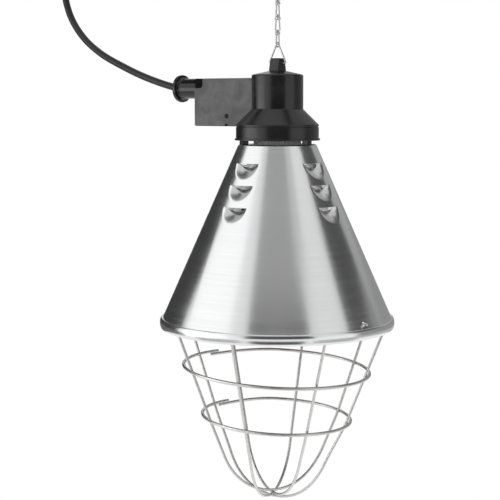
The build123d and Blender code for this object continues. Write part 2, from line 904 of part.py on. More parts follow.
def make_cord_clamp_screws():
    """Two screws through the strap into the box's rib."""
    head_low = rib_top_height + cord_clamp_split + cord_clamp_thickness
    tip = rib_top_height - cord_clamp_screw_bite + screw_clearance
    screw = disc(cord_clamp_screw_radius, tip, head_low)
    screw += disc(cord_clamp_screw_head_radius, head_low, head_low + cord_clamp_screw_head)
    middle = clamp_x + cord_clamp_width / 2
    half = cord_clamp_screw_spacing / 2
    return Compound([Pos(middle, side * half, 0) * screw for side in (-1, 1)])


def terminal_places():
    """The X of each terminal."""
    return [terminal_x + number * terminal_pitch for number in range(terminal_ways)]


def make_terminal_block():
    """The block on the box's back wall, bored for a screw at each terminal."""
    body = block(
        (terminal_x - terminal_margin, terminal_front, terminal_bottom_height),
        (terminal_end_x, box_back - box_wall, terminal_top_height),
    )
    middle = terminal_bottom_height + terminal_tall / 2
    for x in terminal_places():
        radius = terminal_screw_radius + screw_clearance
        body -= rod_y(radius, terminal_front, terminal_front + terminal_screw_bite, x, middle)
    return body


def make_terminal_screws():
    """The terminal screws, their heads just proud of the block."""
    middle = terminal_bottom_height + terminal_tall / 2
    front = terminal_front - terminal_screw_proud
    end = terminal_front + terminal_screw_bite - screw_clearance
    return Compound([rod_y(terminal_screw_radius, front, end, x, middle) for x in terminal_places()])


def inner_wire(points):
    """One insulated core along (x, y, height) points."""
    corners = [(x, y, level(height)) for x, y, height in points]
    radii = [core_bend] * (len(corners) - 2)
    return bent_wire(FilletPolyline(*corners, radius=radii), 2 * core_radius)


def make_supply_wires():
    """The lead's three cores, from its end down into the terminals."""
    cores = []
    for x, turn in zip(terminal_places(), core_triad_angles):
        y = core_triad_radius * math.cos(math.radians(turn))
        height = gland_height + core_triad_radius * math.sin(math.radians(turn))
        cores.append(inner_wire([(stub_end_x, y, height), (x, y, height), (x, y, terminal_top_height)]))
    return Compound(cores)


def make_lamp_wires():
    """Two wires from the terminals through the wire port to the lampholder's top."""
    wires = []
    for number, side in enumerate((1, -1)):
        x = terminal_x + lamp_wire_from_end + number * lamp_wire_step
        y = side * lamp_wire_y
        wires.append(inner_wire([
            (x, y, terminal_bottom_height),
            (x, y, lamp_wire_low_height),
            (lamp_wire_riser_x, y, lamp_wire_low_height),
            (lamp_wire_riser_x, y, wire_port_height),
            (lamp_wire_end_x, y, wire_port_height),
            (lamp_wire_end_x, y, holder_top_height),
        ]))
    return Compound(wires)


save(make_gland(), "cable_gland")
save(rod_x(cord_radius, mouth_x, stub_end_x, 0, gland_height), "lead_stub")
save(make_cord_clamp(), "cord_clamp")
save(make_cord_clamp_screws(), "cord_clamp_screws")
save(make_terminal_block(), "terminal_block")
save(make_terminal_screws(), "terminal_screws")
save(make_supply_wires(), "supply_wires")
save(make_lamp_wires(), "lamp_wires")

# Bulb

bulb_tip_height = socket_end_height - contact_thickness - tip_gap
cap_top_height = bulb_tip_height - tip_thickness
thread_top_height = cap_top_height - cap_cone_height
cap_low_height = thread_top_height - cap_thread_length
stub_low = cap_low_height - cap_clear_of_neck
stub_top = stub_low + bulb_stub_length
dome_height = stub_low - bulb_length + bulb_dome_radius
shoulder_r = bulb_max_radius - bulb_shoulder_radius
dome_reach = bulb_dome_radius - bulb_shoulder_radius
shoulder_height = dome_height - math.sqrt(dome_reach**2 - shoulder_r**2)

# The cone leaves the shoulder arc on the tangent that meets the foot of the straight neck
taper = shoulder_r - bulb_neck_radius
taper_rise = stub_low - bulb_stub_rise - bulb_neck_length - shoulder_height
cone = math.asin(bulb_shoulder_radius / math.hypot(taper, taper_rise)) + math.atan2(taper, taper_rise)


def bulb_face(inset):
    """The bulb's half section a wall in or not: dome, shoulder arc, cone, neck and stub."""
    swing = math.asin(shoulder_r / dome_reach)
    dome = bulb_dome_radius - inset
    arc = bulb_shoulder_radius - inset
    neck = bulb_neck_radius - inset
    stub = bulb_stub_radius - inset
    pole = (0, dome_height - dome)
    middle = (dome * math.sin(swing / 2), dome_height - dome * math.cos(swing / 2))
    join = (dome * math.sin(swing), dome_height - dome * math.cos(swing))
    side = (shoulder_r + arc, shoulder_height)
    leave = (shoulder_r + arc * math.cos(cone), shoulder_height + arc * math.sin(cone))
    neck_height = leave[1] + (leave[0] - neck) / math.tan(cone)
    lines = [
        ThreePointArc(pole, middle, join),
        ThreePointArc(join, side, leave),
        Polyline(leave, (neck, neck_height), (neck, stub_low - bulb_stub_rise), (stub, stub_low)),
        Polyline((stub, stub_low), (stub, stub_top), (0, stub_top), pole),
    ]
    return Pos(0, 0, rim_z) * (Plane.XZ * make_face(Curve() + lines))


def make_cap():
    """The screw cap: a sleeve on the glass stub, filled above it, with an insulating cone on top."""
    sleeve_top = cap_low_height + cap_cement
    points = [
        (bulb_stub_radius + fit_clearance, cap_low_height),
        (cap_radius, cap_low_height),
        (cap_radius, thread_top_height),
        (cap_cone_radius, cap_top_height),
        (0, cap_top_height),
        (0, sleeve_top),
        (bulb_stub_radius + fit_clearance, sleeve_top),
    ]
    return turned(outline(points))


def make_filament():
    """A ring of coiled wire held by two supports under the stem."""
    stem_low = cap_low_height + cap_cement - stem_length
    ring = Pos(0, 0, level(stem_low - filament_radius)) * Torus(filament_radius, filament_wire / 2)
    path_end = (filament_radius, stem_low - filament_radius)
    wires = ring
    for side in (-1, 1):
        line = Line((side * stem_radius / 2, stem_low), (side * path_end[0], path_end[1]))
        wires += bent_wire(Pos(0, 0, rim_z) * (Plane.XZ * line), filament_wire)
    return wires


bulb_glass = turned(bulb_face(0)) - turned(bulb_face(bulb_glass_wall))
stem_top_height = cap_low_height + cap_cement
open_top = disc(bulb_stub_radius - bulb_glass_wall, cap_low_height, stem_top_height)
save(bulb_glass - open_top, "bulb_glass")
save(make_cap(), "bulb_cap")
save(disc(tip_radius, cap_top_height, bulb_tip_height), "bulb_contact")
save(disc(stem_radius, stem_top_height - stem_length, stem_top_height), "bulb_stem")
save(make_filament(), "filament")

# Wire guard

top_ring_radius = rim_radius - bead_thickness - guard_rim_clearance - guard_ring_wire / 2
leg_slope = lower_ring_inset / (lower_ring_drop - top_ring_drop)
upper_ring_radius = top_ring_radius - leg_slope * (upper_ring_drop - top_ring_drop)
lower_ring_radius = top_ring_radius - lower_ring_inset
leg_angle = math.atan(leg_slope)
weld_offset = ((guard_wire + guard_ring_wire) / 2 - weld_sink) / math.cos(leg_angle)


def leg_radius(height):
    """The radius of a leg's centre line at a height above the rim."""
    return upper_ring_radius - weld_offset + leg_slope * (height + upper_ring_drop)


def make_guard_wire(bottom_height):
    """One U-wire in the YZ plane: a leg down, a round bottom and the other leg up."""
    at_zero = leg_radius(0)
    rise = math.cos(leg_angle) - leg_slope * (1 - math.sin(leg_angle))
    bottom_radius = (at_zero + leg_slope * bottom_height) / rise
    centre_height = bottom_height + bottom_radius
    touch = (
        bottom_radius * math.cos(leg_angle),
        centre_height - bottom_radius * math.sin(leg_angle),
    )
    end = (leg_radius(leg_end_rise), leg_end_rise)
    leg_in = Line((-end[0], end[1]), (-touch[0], touch[1]))
    bottom = ThreePointArc((-touch[0], touch[1]), (0, bottom_height), touch)
    leg_out = Line(touch, end)
    path = Pos(0, 0, rim_z) * (Plane.YZ * Wire([leg_in, bottom, leg_out]))
    return bent_wire(path, guard_wire)


def ring_arc(radius, start, sweep_angle):
    """A piece of ring wire about Z, its angles counted from +X."""
    return bent_wire(CenterArc((0, 0), radius, start, sweep_angle), guard_ring_wire)


def make_leaning_ring(radius, drop, lean):
    """The ring turned so that its low side faces the lean's azimuth and its lap stays in place."""
    start = ring_lap_azimuth - 90 - ring_lean_azimuth + ring_end_gap
    ring = ring_arc(radius, start, 360 - 2 * ring_end_gap)
    lap_start = start - 2 * ring_end_gap - ring_lap_before
    lap = ring_arc(radius, lap_start, 2 * ring_end_gap + ring_lap_before + ring_lap_after)
    ring += Pos(0, 0, guard_ring_wire - lap_sink) * lap
    shift = ring_shift_share * leg_slope * radius * math.sin(math.radians(lean))
    leaning = Pos(0, shift, level(-drop)) * (Rot(lean, 0, 0) * ring)
    return at_azimuth(leaning, ring_lean_azimuth)


def make_guard_hooks():
    """Hooks that rise inside the rim and turn outwards through the shade's holes."""
    rise_radius = top_ring_radius - (guard_wire + guard_ring_wire) / 2 + weld_sink
    tip_radius_out = cone_radius(guard_hook_height) + guard_hook_reach
    path = FilletPolyline(
        (rise_radius, -top_ring_drop - guard_hook_tail),
        (rise_radius, guard_hook_height),
        (tip_radius_out, guard_hook_height),
        radius=guard_hook_bend,
    )
    hook = bent_wire(Pos(0, 0, rim_z) * (Plane.XZ * path), guard_wire)
    hooks = []
    for number in range(guard_hook_count):
        azimuth = guard_hook_azimuth + number * 360 / guard_hook_count
        hooks.append(Rot(0, 0, azimuth - 90) * hook)
    return Compound(hooks)


for number, azimuth in enumerate(guard_azimuths):
    lift = guard_stack_order[number] * (guard_wire + guard_cross_play)
    bottom = lift - guard_bottom_drop
    wire = Pos(0, 0, -level(bottom)) * make_guard_wire(bottom)
    wire = Pos(guard_offsets[number], 0, level(bottom)) * (Rot(0, guard_leans[number], 0) * wire)
    save(at_azimuth(wire, azimuth), f"guard_wire_{number + 1}")
save(Pos(0, 0, level(-top_ring_drop)) * Torus(top_ring_radius, guard_ring_wire / 2), "guard_ring_top")
save(make_leaning_ring(upper_ring_radius, upper_ring_drop, ring_lean), "guard_ring_upper")
save(make_leaning_ring(lower_ring_radius, lower_ring_drop, ring_lean), "guard_ring_lower")
save(make_guard_hooks(), "guard_hooks")

# Lead, coil, tie and plug


def route_radii(points):
    """The largest tangent arc that fits at each corner of a route."""
    radii = []
    for before, corner, after in zip(points, points[1:], points[2:]):
        run_in = Vector(*corner) - Vector(*before)
        run_out = Vector(*after) - Vector(*corner)
        half_turn = math.radians(run_in.get_angle(run_out)) / 2
        shorter = min(run_in.length, run_out.length)
        radii.append(bend_share * shorter / math.tan(half_turn))
    return radii


route = [(x, y, level(height)) for x, y, height in lead_route]
lead_radii = route_radii(route)
lead_path = FilletPolyline(*route, radius=lead_radii)
lead = bent_wire(lead_path, cord_diameter)
print("lead radii", [round(radius) for radius in lead_radii])
lead_round_volume = lead_path.length * math.pi * cord_radius**2
print("lead length", round(lead_path.length), "volume share", lead.volume / lead_round_volume)


def make_coil():
    """The wound coil as one ring of rounded square section about Y."""
    section = Pos(coil_mean_radius, 0) * RectangleRounded(coil_section, coil_section, coil_corner)
    return Pos(coil_x, coil_y, level(coil_height)) * revolve(section, axis=Axis.Y)


def make_tie():
    """A strap round the coil's left side and the chain, with its ratchet head at the back."""
    left = coil_x - coil_mean_radius - coil_section / 2 - tie_play
    right = coil_x - coil_mean_radius + coil_section / 2 + tie_play
    front = -link_bottom_radius - chain_wire / 2 - tie_play
    back = coil_y + coil_section / 2 + tie_play
    middle = Pos((left + right) / 2, (front + back) / 2)
    inner = RectangleRounded(right - left, back - front, tie_corner)
    outer = RectangleRounded(
        right - left + 2 * tie_thickness,
        back - front + 2 * tie_thickness,
        tie_corner + tie_thickness,
    )
    strap = extrude(middle * (outer - inner), tie_width / 2, both=True)
    head = Box(tie_head, tie_head, tie_head, align=(Align.CENTER, Align.MIN, Align.CENTER))
    strap += Pos((left + right) / 2, back + tie_thickness / 2, 0) * head
    return Pos(0, 0, level(coil_height)) * strap


plug_line_height = coil_height + coil_mean_radius
coil_outer = coil_mean_radius + coil_section / 2
plug_start = coil_x + math.sqrt(coil_outer**2 - coil_mean_radius**2) - plug_sink
plug_grip_x = plug_start + plug_relief_length
plug_flare_x = plug_grip_x + plug_grip_length
plug_face_x = plug_flare_x + plug_face_length


def plug_place(x, y, z):
    """A place on the plug, from the cord's line."""
    return Pos(x, coil_y + y, level(plug_line_height) + z)


def make_plug_body():
    """A round earthed plug with a tapered relief, grip, flared face, pin bores and side flats."""
    points = [
        (plug_start, 0),
        (plug_start, plug_relief_small_radius),
        (plug_grip_x, plug_relief_large_radius),
        (plug_grip_x, plug_grip_radius),
        (plug_flare_x, plug_grip_radius),
        (plug_flare_x + plug_face_length / 3, plug_face_radius),
        (plug_face_x, plug_face_radius),
        (plug_face_x, 0),
    ]
    face = make_face(Polyline(*points, close=True))
    corner = face.vertices().sort_by_distance((plug_grip_x, plug_grip_radius, 0))[0]
    face = fillet(corner, plug_edge)
    body = revolve(face, axis=Axis.X)
    for side in (-1, 1):
        bore = Cylinder(plug_pin_root_radius + fit_clearance, plug_pin_bite)
        body -= Pos(plug_face_x - plug_pin_bite / 2, side * plug_pin_spacing / 2, 0) * Rot(0, 90, 0) * bore
        clip_slot = Box(earth_clip_length, earth_clip_width, 2 * earth_clip_sheet)
        body -= Pos(plug_face_x - earth_clip_length / 2, 0, side * plug_face_radius) * clip_slot
    return plug_place(0, 0, 0) * body


def make_plug_pins():
    """Two round pins with rounded tips, on thinner roots that the plug body grips."""
    root = Cylinder(plug_pin_root_radius, plug_pin_bite + plug_pin_shoulder, align=UPWARD)
    pin = Cylinder(plug_pin_radius, plug_pin_length - plug_pin_shoulder, align=UPWARD)
    pin = fillet(pin.edges().filter_by(GeomType.CIRCLE).group_by(Axis.Z)[-1], plug_pin_round)
    pin = Pos(0, 0, plug_pin_shoulder) * pin + Pos(0, 0, -plug_pin_bite) * root
    half = plug_pin_spacing / 2
    return Compound([plug_place(plug_face_x, side * half, 0) * Rot(0, 90, 0) * pin for side in (-1, 1)])


def make_earth_clips():
    """Two sprung strips in the flats on the plug's sides."""
    clip = Box(earth_clip_length, earth_clip_width, earth_clip_sheet)
    middle = plug_face_x - earth_clip_length / 2
    seat = plug_face_radius - earth_clip_sheet / 2
    return Compound([plug_place(middle, 0, side * seat) * clip for side in (-1, 1)])


save(lead, "lead")
save(make_coil(), "lead_coil")
save(make_tie(), "coil_tie")
save(make_plug_body(), "plug_body")
save(make_plug_pins(), "plug_pins")
save(make_earth_clips(), "plug_earth_clips")
print("rim z", rim_z, "pivot z", level(pivot_height), "bail apex z", bail_apex_z, "hook low z", hook_low_z)
print("plug", plug_start, plug_face_x, level(plug_line_height))
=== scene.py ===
import math

import bmesh
import bpy
import numpy as np
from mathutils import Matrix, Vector


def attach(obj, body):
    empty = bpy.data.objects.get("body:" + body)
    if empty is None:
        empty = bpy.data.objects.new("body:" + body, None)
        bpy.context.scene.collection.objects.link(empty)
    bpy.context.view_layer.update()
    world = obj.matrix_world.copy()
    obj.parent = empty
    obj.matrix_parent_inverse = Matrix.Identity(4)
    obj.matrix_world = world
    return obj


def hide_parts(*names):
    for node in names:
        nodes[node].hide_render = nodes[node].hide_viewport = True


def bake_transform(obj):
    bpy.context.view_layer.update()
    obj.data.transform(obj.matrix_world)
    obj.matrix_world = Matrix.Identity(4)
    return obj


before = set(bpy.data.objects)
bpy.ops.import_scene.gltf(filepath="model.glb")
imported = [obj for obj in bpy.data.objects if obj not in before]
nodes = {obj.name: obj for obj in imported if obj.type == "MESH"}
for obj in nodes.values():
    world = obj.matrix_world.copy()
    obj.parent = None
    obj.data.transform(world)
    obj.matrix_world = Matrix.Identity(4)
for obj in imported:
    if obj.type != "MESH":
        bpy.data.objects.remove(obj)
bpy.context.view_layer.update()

# S-hook
# A bent steel wire that hangs on a nail or a rail and carries the chain.
# Bright zinc plated, cut square at both ends, bent cold on two pegs.

hook_wire = 0.0026
hook_upper_radius = 0.0075
hook_lower_radius = 0.0055
hook_length = 0.036
hook_tip = math.radians(25)
wire_end_bevel = 0.3
same_point = 2e-6


def arc(centre, radius, start, end, count):
    """Points on a circle in a plane: the centre plus the radius turned from start to end."""
    turn = np.linspace(start, end, count)
    return np.stack([centre[0] + radius * np.cos(turn), centre[1] + radius * np.sin(turn)], axis=1)


def full_turn(count):
    """Angles once round, evenly spaced."""
    return np.linspace(0, 2 * math.pi, count, endpoint=False)


def stand_in_yz(flat):
    """Plane points (a, b) as space points (0, a, b)."""
    return np.insert(flat, 0, 0.0, axis=1)


def placed(name, data):
    """A new object that shows the data, put into the scene."""
    made = bpy.data.objects.new(name, data)
    bpy.context.scene.collection.objects.link(made)
    return made


def shade_crisp(mesh, angle):
    """Smooth shading but for edges sharper than an angle in degrees."""
    mesh.shade_smooth()
    mesh.set_sharp_from_angle(angle=math.radians(angle))


def mesh_piece(name, points, faces, smooth=40):
    """A mesh object: points that coincide become one, which closes seams and poles, faces are
    turned outwards, and edges sharper than the smooth angle in degrees stay crisp."""
    mesh = bpy.data.meshes.new(name)
    mesh.from_pydata(points.reshape(-1, 3).tolist(), [], faces.tolist())
    work = bmesh.new()
    work.from_mesh(mesh)
    bmesh.ops.remove_doubles(work, verts=work.verts, dist=same_point)
    bmesh.ops.recalc_face_normals(work, faces=work.faces)
    work.to_mesh(mesh)
    work.free()
    shade_crisp(mesh, smooth)
    return placed(name, mesh)


def grid_faces(rows, columns, close_rows=False, close_columns=True, first=0):
    """Quads of a grid of points numbered row by row; either way round may close on itself."""
    index = np.arange(rows * columns).reshape(rows, columns) + first
    if close_rows:
        index = np.vstack([index, index[:1]])
    if close_columns:
        index = np.hstack([index, index[:, :1]])
    corners = [index[:-1, :-1], index[:-1, 1:], index[1:, 1:], index[1:, :-1]]
    return np.stack(corners, axis=-1).reshape(-1, 4)


def wire_grid(path, radius, across, closed=False, sides=14):
    """Rings of points along a path: at each point a circle of the wire's radius square to the
    path's direction, started from the direction across. An open wire ends in a bevel and a point."""
    if closed:
        ahead = np.roll(path, -1, axis=0) - np.roll(path, 1, axis=0)
    else:
        ahead = np.gradient(path, axis=0)
    ahead = ahead / np.linalg.norm(ahead, axis=1, keepdims=True)
    size = np.full(len(path), float(radius))
    if not closed:
        bevel = wire_end_bevel * radius
        first, last = path[:1] - bevel * ahead[:1], path[-1:] + bevel * ahead[-1:]
        path = np.vstack([first, first, path, last, last])
        ahead = np.vstack([ahead[:1], ahead[:1], ahead, ahead[-1:], ahead[-1:]])
        size = np.concatenate([[0, radius - bevel], size, [radius - bevel, 0]])
    side = across - (ahead @ across)[:, None] * ahead
    side = side / np.linalg.norm(side, axis=1, keepdims=True)
    up = np.cross(ahead, side)
    turn = full_turn(sides)[None, :, None]
    ring = np.cos(turn) * side[:, None] + np.sin(turn) * up[:, None]
    return path[:, None] + size[:, None, None] * ring


def wire_piece(name, path, radius, across, closed=False, sides=14):
    """One wire as a piece: its rings of points joined to a skin."""
    grid = wire_grid(path, radius, np.array(across, float), closed, sides)
    return mesh_piece(name, grid, grid_faces(*grid.shape[:2], close_rows=closed))


def feed(node, **inputs):
    """Feed a node's inputs: a socket is linked, a number or a colour is set."""
    for key, value in inputs.items():
        socket = node.inputs[key.replace("_", " ")]
        if isinstance(value, bpy.types.NodeSocket):
            node.id_data.links.new(value, socket)
        else:
            socket.default_value = value
    return node


def new_material(name):
    """A plain node material, its shader and a function that adds nodes to it."""
    material = bpy.data.materials.new(name)
    material.use_nodes = True
    tree = material.node_tree

    def add(kind, output, **inputs):
        """One output of a new node whose inputs are fed."""
        return feed(tree.nodes.new("ShaderNode" + kind), **inputs).outputs[output]

    return material, tree.nodes["Principled BSDF"], add


def noise(add, place, scale, detail, **more):
    """Cloudy noise over a place, about nought to one."""
    return add("TexNoise", "Fac", Vector=place, Scale=scale, Detail=detail, **more)


def ramp(add, factor, low, high, start=0.0, end=1.0):
    """A colour ramp between two grey or RGB values over a stretch of the factor."""
    ramped = add("ValToRGB", "Color", Fac=factor)
    for stop, place, value in zip(ramped.node.color_ramp.elements, (start, end), (low, high)):
        stop.position = place
        colour = (value,) * 3 if isinstance(value, float) else value
        stop.color = (*colour, 1)
    return ramped


def bumped(add, height, strength, depth, **below):
    """The surface's normal with a height pressed into it, over the normal below if given."""
    return add("Bump", "Normal", Height=height, Strength=strength, Distance=depth, **below)


def zinc_wire_finish():
    """Zinc on drawn wire: grey metal, faint spangle cells, a fine grain and duller patches."""
    material, shader, add = new_material("zinc_wire")
    place = add("TexCoord", "Object")
    patches = noise(add, place, 160.0, 4.0)
    spangle = add("TexVoronoi", "Distance", Vector=place, Scale=420.0)
    mixed = add("Mix", "Result", Factor=0.35, A=patches, B=spangle)
    feed(shader, Metallic=1.0,
         Base_Color=ramp(add, mixed, (0.60, 0.60, 0.59), (0.80, 0.80, 0.79), 0.2, 0.8),
         Roughness=ramp(add, patches, 0.30, 0.46, 0.3, 0.7),
         Normal=bumped(add, noise(add, place, 2600.0, 2.0), 0.08, 0.0002))
    return material


def dress(piece, material, body, slot, *replaced):
    """Give a piece its finish and its body, and hide the nodes that it stands for; the slot is not used."""
    piece.data.materials.clear()
    piece.data.materials.append(material)
    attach(piece, body)
    if replaced:
        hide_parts(*replaced)


zinc_wire = zinc_wire_finish()
hook_top = hook_wire / 2 - hook_upper_radius
hook_bottom = hook_wire / 2 - hook_length + hook_lower_radius
hook_slope = math.asin((hook_upper_radius + hook_lower_radius) / (hook_top - hook_bottom))
upper_bend = arc((0, hook_top), hook_upper_radius, math.pi + hook_tip, -hook_slope, 40)
lower_bend = arc((0, hook_bottom), hook_lower_radius, math.pi - hook_slope, 2 * math.pi + hook_tip, 40)
hook_line = stand_in_yz(np.vstack([upper_bend, lower_bend]))
hook = wire_piece("hanging_hook", hook_line, hook_wire / 2, (1, 0, 0), sides=18)
dress(hook, zinc_wire, "hook", "zinc_wire", "s_hook")

# Chain
# Twelve links of thin zinc plated wire, each bent to a long loop and knotted at its narrow end.
# The first link hangs on the hook with its wide end, the others hang one in another.

chain_links = 12
chain_wire = 0.0014
chain_pitch = 0.0132
link_length = 0.0147
link_narrow_radius = 0.0016
link_wide_radius = 0.0023
first_link_z = -0.0326
knot_drop = 0.0030
knot_turns = 2.4
knot_rise = 0.0019
knot_half_width = 0.0021
knot_half_depth = 0.0015
knot_points = 44
straight_up = np.array([0, 0, 1.0])


def stand_in_xz(flat):
    """Plane points (a, b) as space points (a, 0, b)."""
    return np.insert(flat, 1, 0.0, axis=1)


def turned_about_z(points, angle):
    """Points turned about the Z axis by an angle in radians."""
    c, s = math.cos(angle), math.sin(angle)
    return points @ np.array([[c, s, 0], [-s, c, 0], [0, 0, 1]])


def link_line():
    """A loop of two half circles, narrow at the top and wide below, joined by straight sides."""
    lean = math.asin((link_wide_radius - link_narrow_radius)
                     / (link_length - link_narrow_radius - link_wide_radius))
    narrow = arc((0, -link_narrow_radius), link_narrow_radius, lean, math.pi - lean, 14)
    wide = arc((0, link_wide_radius - link_length), link_wide_radius, math.pi - lean, 2 * math.pi + lean, 18)
    left = np.linspace(narrow[-1], wide[0], 6)[1:-1]
    right = np.linspace(wide[-1], narrow[0], 6)[1:-1]
    return stand_in_xz(np.vstack([narrow, left, wide, right]))


def knot_line():
    """The wire's tail wound round both sides of the loop: an oval helix that climbs evenly."""
    turn = np.linspace(0, 2 * math.pi * knot_turns, knot_points)
    climb = np.linspace(-knot_rise / 2, knot_rise / 2, knot_points) - knot_drop
    return np.stack([knot_half_width * np.cos(turn), knot_half_depth * np.sin(turn), climb], axis=1)


loop_grid = wire_grid(link_line(), chain_wire / 2, np.array([0, 1.0, 0]), closed=True, sides=12)
knot_grid = wire_grid(knot_line(), chain_wire / 2, np.array([0, 0, 1.0]), sides=10)
link_points = np.vstack([loop_grid.reshape(-1, 3), knot_grid.reshape(-1, 3)])
link_faces = np.vstack([
    grid_faces(*loop_grid.shape[:2], close_rows=True),
    grid_faces(*knot_grid.shape[:2], first=loop_grid.shape[0] * loop_grid.shape[1]),
])
upside_down = link_points * np.array([1, -1, -1]) - link_length * straight_up
for number in range(chain_links):
    shape = upside_down if number == 0 else link_points
    shape = turned_about_z(shape, math.pi / 2 * (number % 2))
    place = (first_link_z - chain_pitch * number) * straight_up
    link = mesh_piece(f"link_{number + 1:02d}", shape + place, link_faces)
    dress(link, zinc_wire, "chain", "zinc_wire", f"chain_link_{number + 1:02d}")

# Bail
# A triangle of zinc plated wire that hangs in the last link.
# Its two ends are bent inwards and spring into the hole of the hanger ear.

rim_z = -0.43787557
bail_wire = 0.0016
bail_half_width = 0.0092
bail_end_gap = 0.0013
bail_top = 0.2499
bail_bends = (0.0022, 0.0016, 0.0022)
ear_hole_height = 0.2310


def at_rim(points):
    """Points whose heights are counted from the shade's rim, as points of the frame."""
    return np.asarray(points, float) + rim_z * straight_up


def soft_corners(points, reach, steps=7):
    """A run of straight lines with each inner corner eased: a parabola between the two points that
    lie the corner's reach away from it on either side."""
    points = np.asarray(points, float)
    reach = np.broadcast_to(np.asarray(reach, float), (len(points) - 2,))[:, None]
    corner = points[1:-1]
    before, after = points[:-2] - corner, points[2:] - corner
    start = corner + reach * before / np.linalg.norm(before, axis=1, keepdims=True)
    end = corner + reach * after / np.linalg.norm(after, axis=1, keepdims=True)
    t = np.linspace(0, 1, steps)[None, :, None]
    eased = (1 - t) ** 2 * start[:, None] + 2 * t * (1 - t) * corner[:, None] + t ** 2 * end[:, None]
    return np.vstack([points[:1], eased.reshape(-1, points.shape[1]), points[-1:]])


bail_side = np.array([(bail_half_width, ear_hole_height), (bail_end_gap, ear_hole_height)])
bail_corners = np.vstack([bail_side[::-1] * np.array([-1, 1]), [(0, bail_top)], bail_side])
bail_line = at_rim(stand_in_xz(soft_corners(bail_corners, bail_bends)))
bail = wire_piece("wire_bail", bail_line, bail_wire / 2, (0, 1, 0))
dress(bail, zinc_wire, "chain", "zinc_wire", "bail")

# Housing
# One black moulding: ring, flare, barrel, roof and hanger ear, with three feet under the ring that
# hold the shade away so that warm air gets out. Polished thermoset with a fine grain.

housing_profile = [
    (0.0340, 0.1630), (0.0381, 0.1630), (0.0381, 0.1648), (0.0370, 0.1648), (0.0370, 0.1747),
    (0.0364, 0.1748), (0.0364, 0.1755), (0.0370, 0.1756), (0.0370, 0.1768), (0.0230, 0.1907),
    (0.0230, 0.2210), (0.0065, 0.2246), (0.0, 0.2246), (0.0, 0.2180), (0.0200, 0.2180),
    (0.0200, 0.1886), (0.0340, 0.1744), (0.0340, 0.1630),
]
housing_corner = [
    0.0006, 0.0005, 0.0003, 0.0002, 0.0002, 0.0002, 0.0002, 0.0006, 0.0008,
    0.0016, 0.0010, 1e-6, 1e-6, 0.0010, 0.0010, 0.0010,
]


def carried_round(radius, height, turn):
    """Points carried round the Z axis: each radius and height at a turn counted from the front."""
    return np.stack([radius * np.sin(turn), -radius * np.cos(turn), height + 0 * radius * turn], axis=-1)


def turned_piece(name, profile, columns=96, smooth=40):
    """A lathe shape: each profile point (radius, height) carried round the axis. The stretch of
    profile that runs along the axis has no faces."""
    grid = carried_round(profile[:, :1], profile[:, 1:2] + rim_z, full_turn(columns)[None, :])
    faces = grid_faces(*grid.shape[:2]).reshape(len(profile) - 1, columns, 4)
    on_axis = (profile[:-1, 0] < 1e-7) & (profile[1:, 0] < 1e-7)
    return mesh_piece(name, grid, faces[~on_axis].reshape(-1, 4), smooth)


def rounded_block(sections, corner, sides=6):
    """An upright block: each section (height, half width, half depth, middle y) is a rectangle with
    rounded corners; the first and last close to a point in their own plane."""
    sections = np.asarray(sections, float)
    quarter = np.linspace(0, math.pi / 2, sides)
    turn = np.concatenate([quarter + k * math.pi / 2 for k in range(4)])
    sign_x = np.repeat([1, -1, -1, 1], sides)
    sign_y = np.repeat([1, 1, -1, -1], sides)
    height, wide, deep, middle = (sections[:, k:k + 1] for k in range(4))
    r = np.minimum(corner, np.minimum(wide, deep))
    x = sign_x * (wide - r) + r * np.cos(turn)
    y = sign_y * (deep - r) + r * np.sin(turn) + middle
    rings = np.stack([x, y, height + 0 * x], axis=-1)
    low, high = rings[:1].mean(axis=1, keepdims=True), rings[-1:].mean(axis=1, keepdims=True)
    return np.concatenate([low + 0 * rings[:1], rings, high + 0 * rings[-1:]])


def joined_piece(name, grids, smooth=40):
    """Several closed surfaces, each a grid of rings, as one piece."""
    starts = np.cumsum([0] + [g.shape[0] * g.shape[1] for g in grids[:-1]])
    faces = [grid_faces(*g.shape[:2], first=int(s)) for g, s in zip(grids, starts)]
    points = [g.reshape(-1, 3) for g in grids]
    return mesh_piece(name, np.vstack(points), np.vstack(faces), smooth)


def cloudy_finish(name, low, high, rough_low, rough_high, scale, grain=0.1, grain_scale=None,
                  grain_detail=2.0, grain_depth=0.0002, colour_end=0.7, rough_span=(0.3, 0.7), **looks):
    """A plain finish with life in it: cloudy noise runs colour and gloss between two values, and a
    finer noise stands up as a grain, thirty times as fine where no scale of its own is given."""
    material, shader, add = new_material(name)
    place = add("TexCoord", "Object")
    cloud = noise(add, place, scale, 5.0)
    feed(shader, Base_Color=ramp(add, cloud, low, high, 0.3, colour_end),
         Roughness=ramp(add, cloud, rough_low, rough_high, *rough_span), **looks)
    if grain:
        fine = noise(add, place, grain_scale or 30 * scale, grain_detail)
        feed(shader, Normal=bumped(add, fine, grain, grain_depth))
    return material


black_moulding = cloudy_finish(
    "black_moulding", (0.008, 0.008, 0.009), (0.015, 0.015, 0.016), 0.20, 0.30, 38.0, grain=0.06, IOR=1.5,
    grain_scale=2200.0, grain_detail=3.0, grain_depth=0.0003, colour_end=0.75, rough_span=(0.35, 0.65))
housing_line = soft_corners(housing_profile, housing_corner)
housing = turned_piece("housing_shell", housing_line, 120)
dress(housing, black_moulding, "lamp", "black_moulding", "housing")

ear_half_width = 0.0051
ear_edge_radius = 0.0005
ear_hole_radius = 0.0012
ear_drill_reach = 0.008
ear_sections = [
    (0.2228, 0.0066), (0.2240, 0.0064), (0.2262, 0.0060), (0.2310, 0.0050), (0.2340, 0.0043),
    (0.2350, 0.0039), (0.2355, 0.0033),
]
ear_edge = np.array([0, 0, 0, 0, 0, 0.0003, 0.0009])
ear_rows = [(rim_z + h, ear_half_width - e, d, 0) for (h, d), e in zip(ear_sections, ear_edge)]


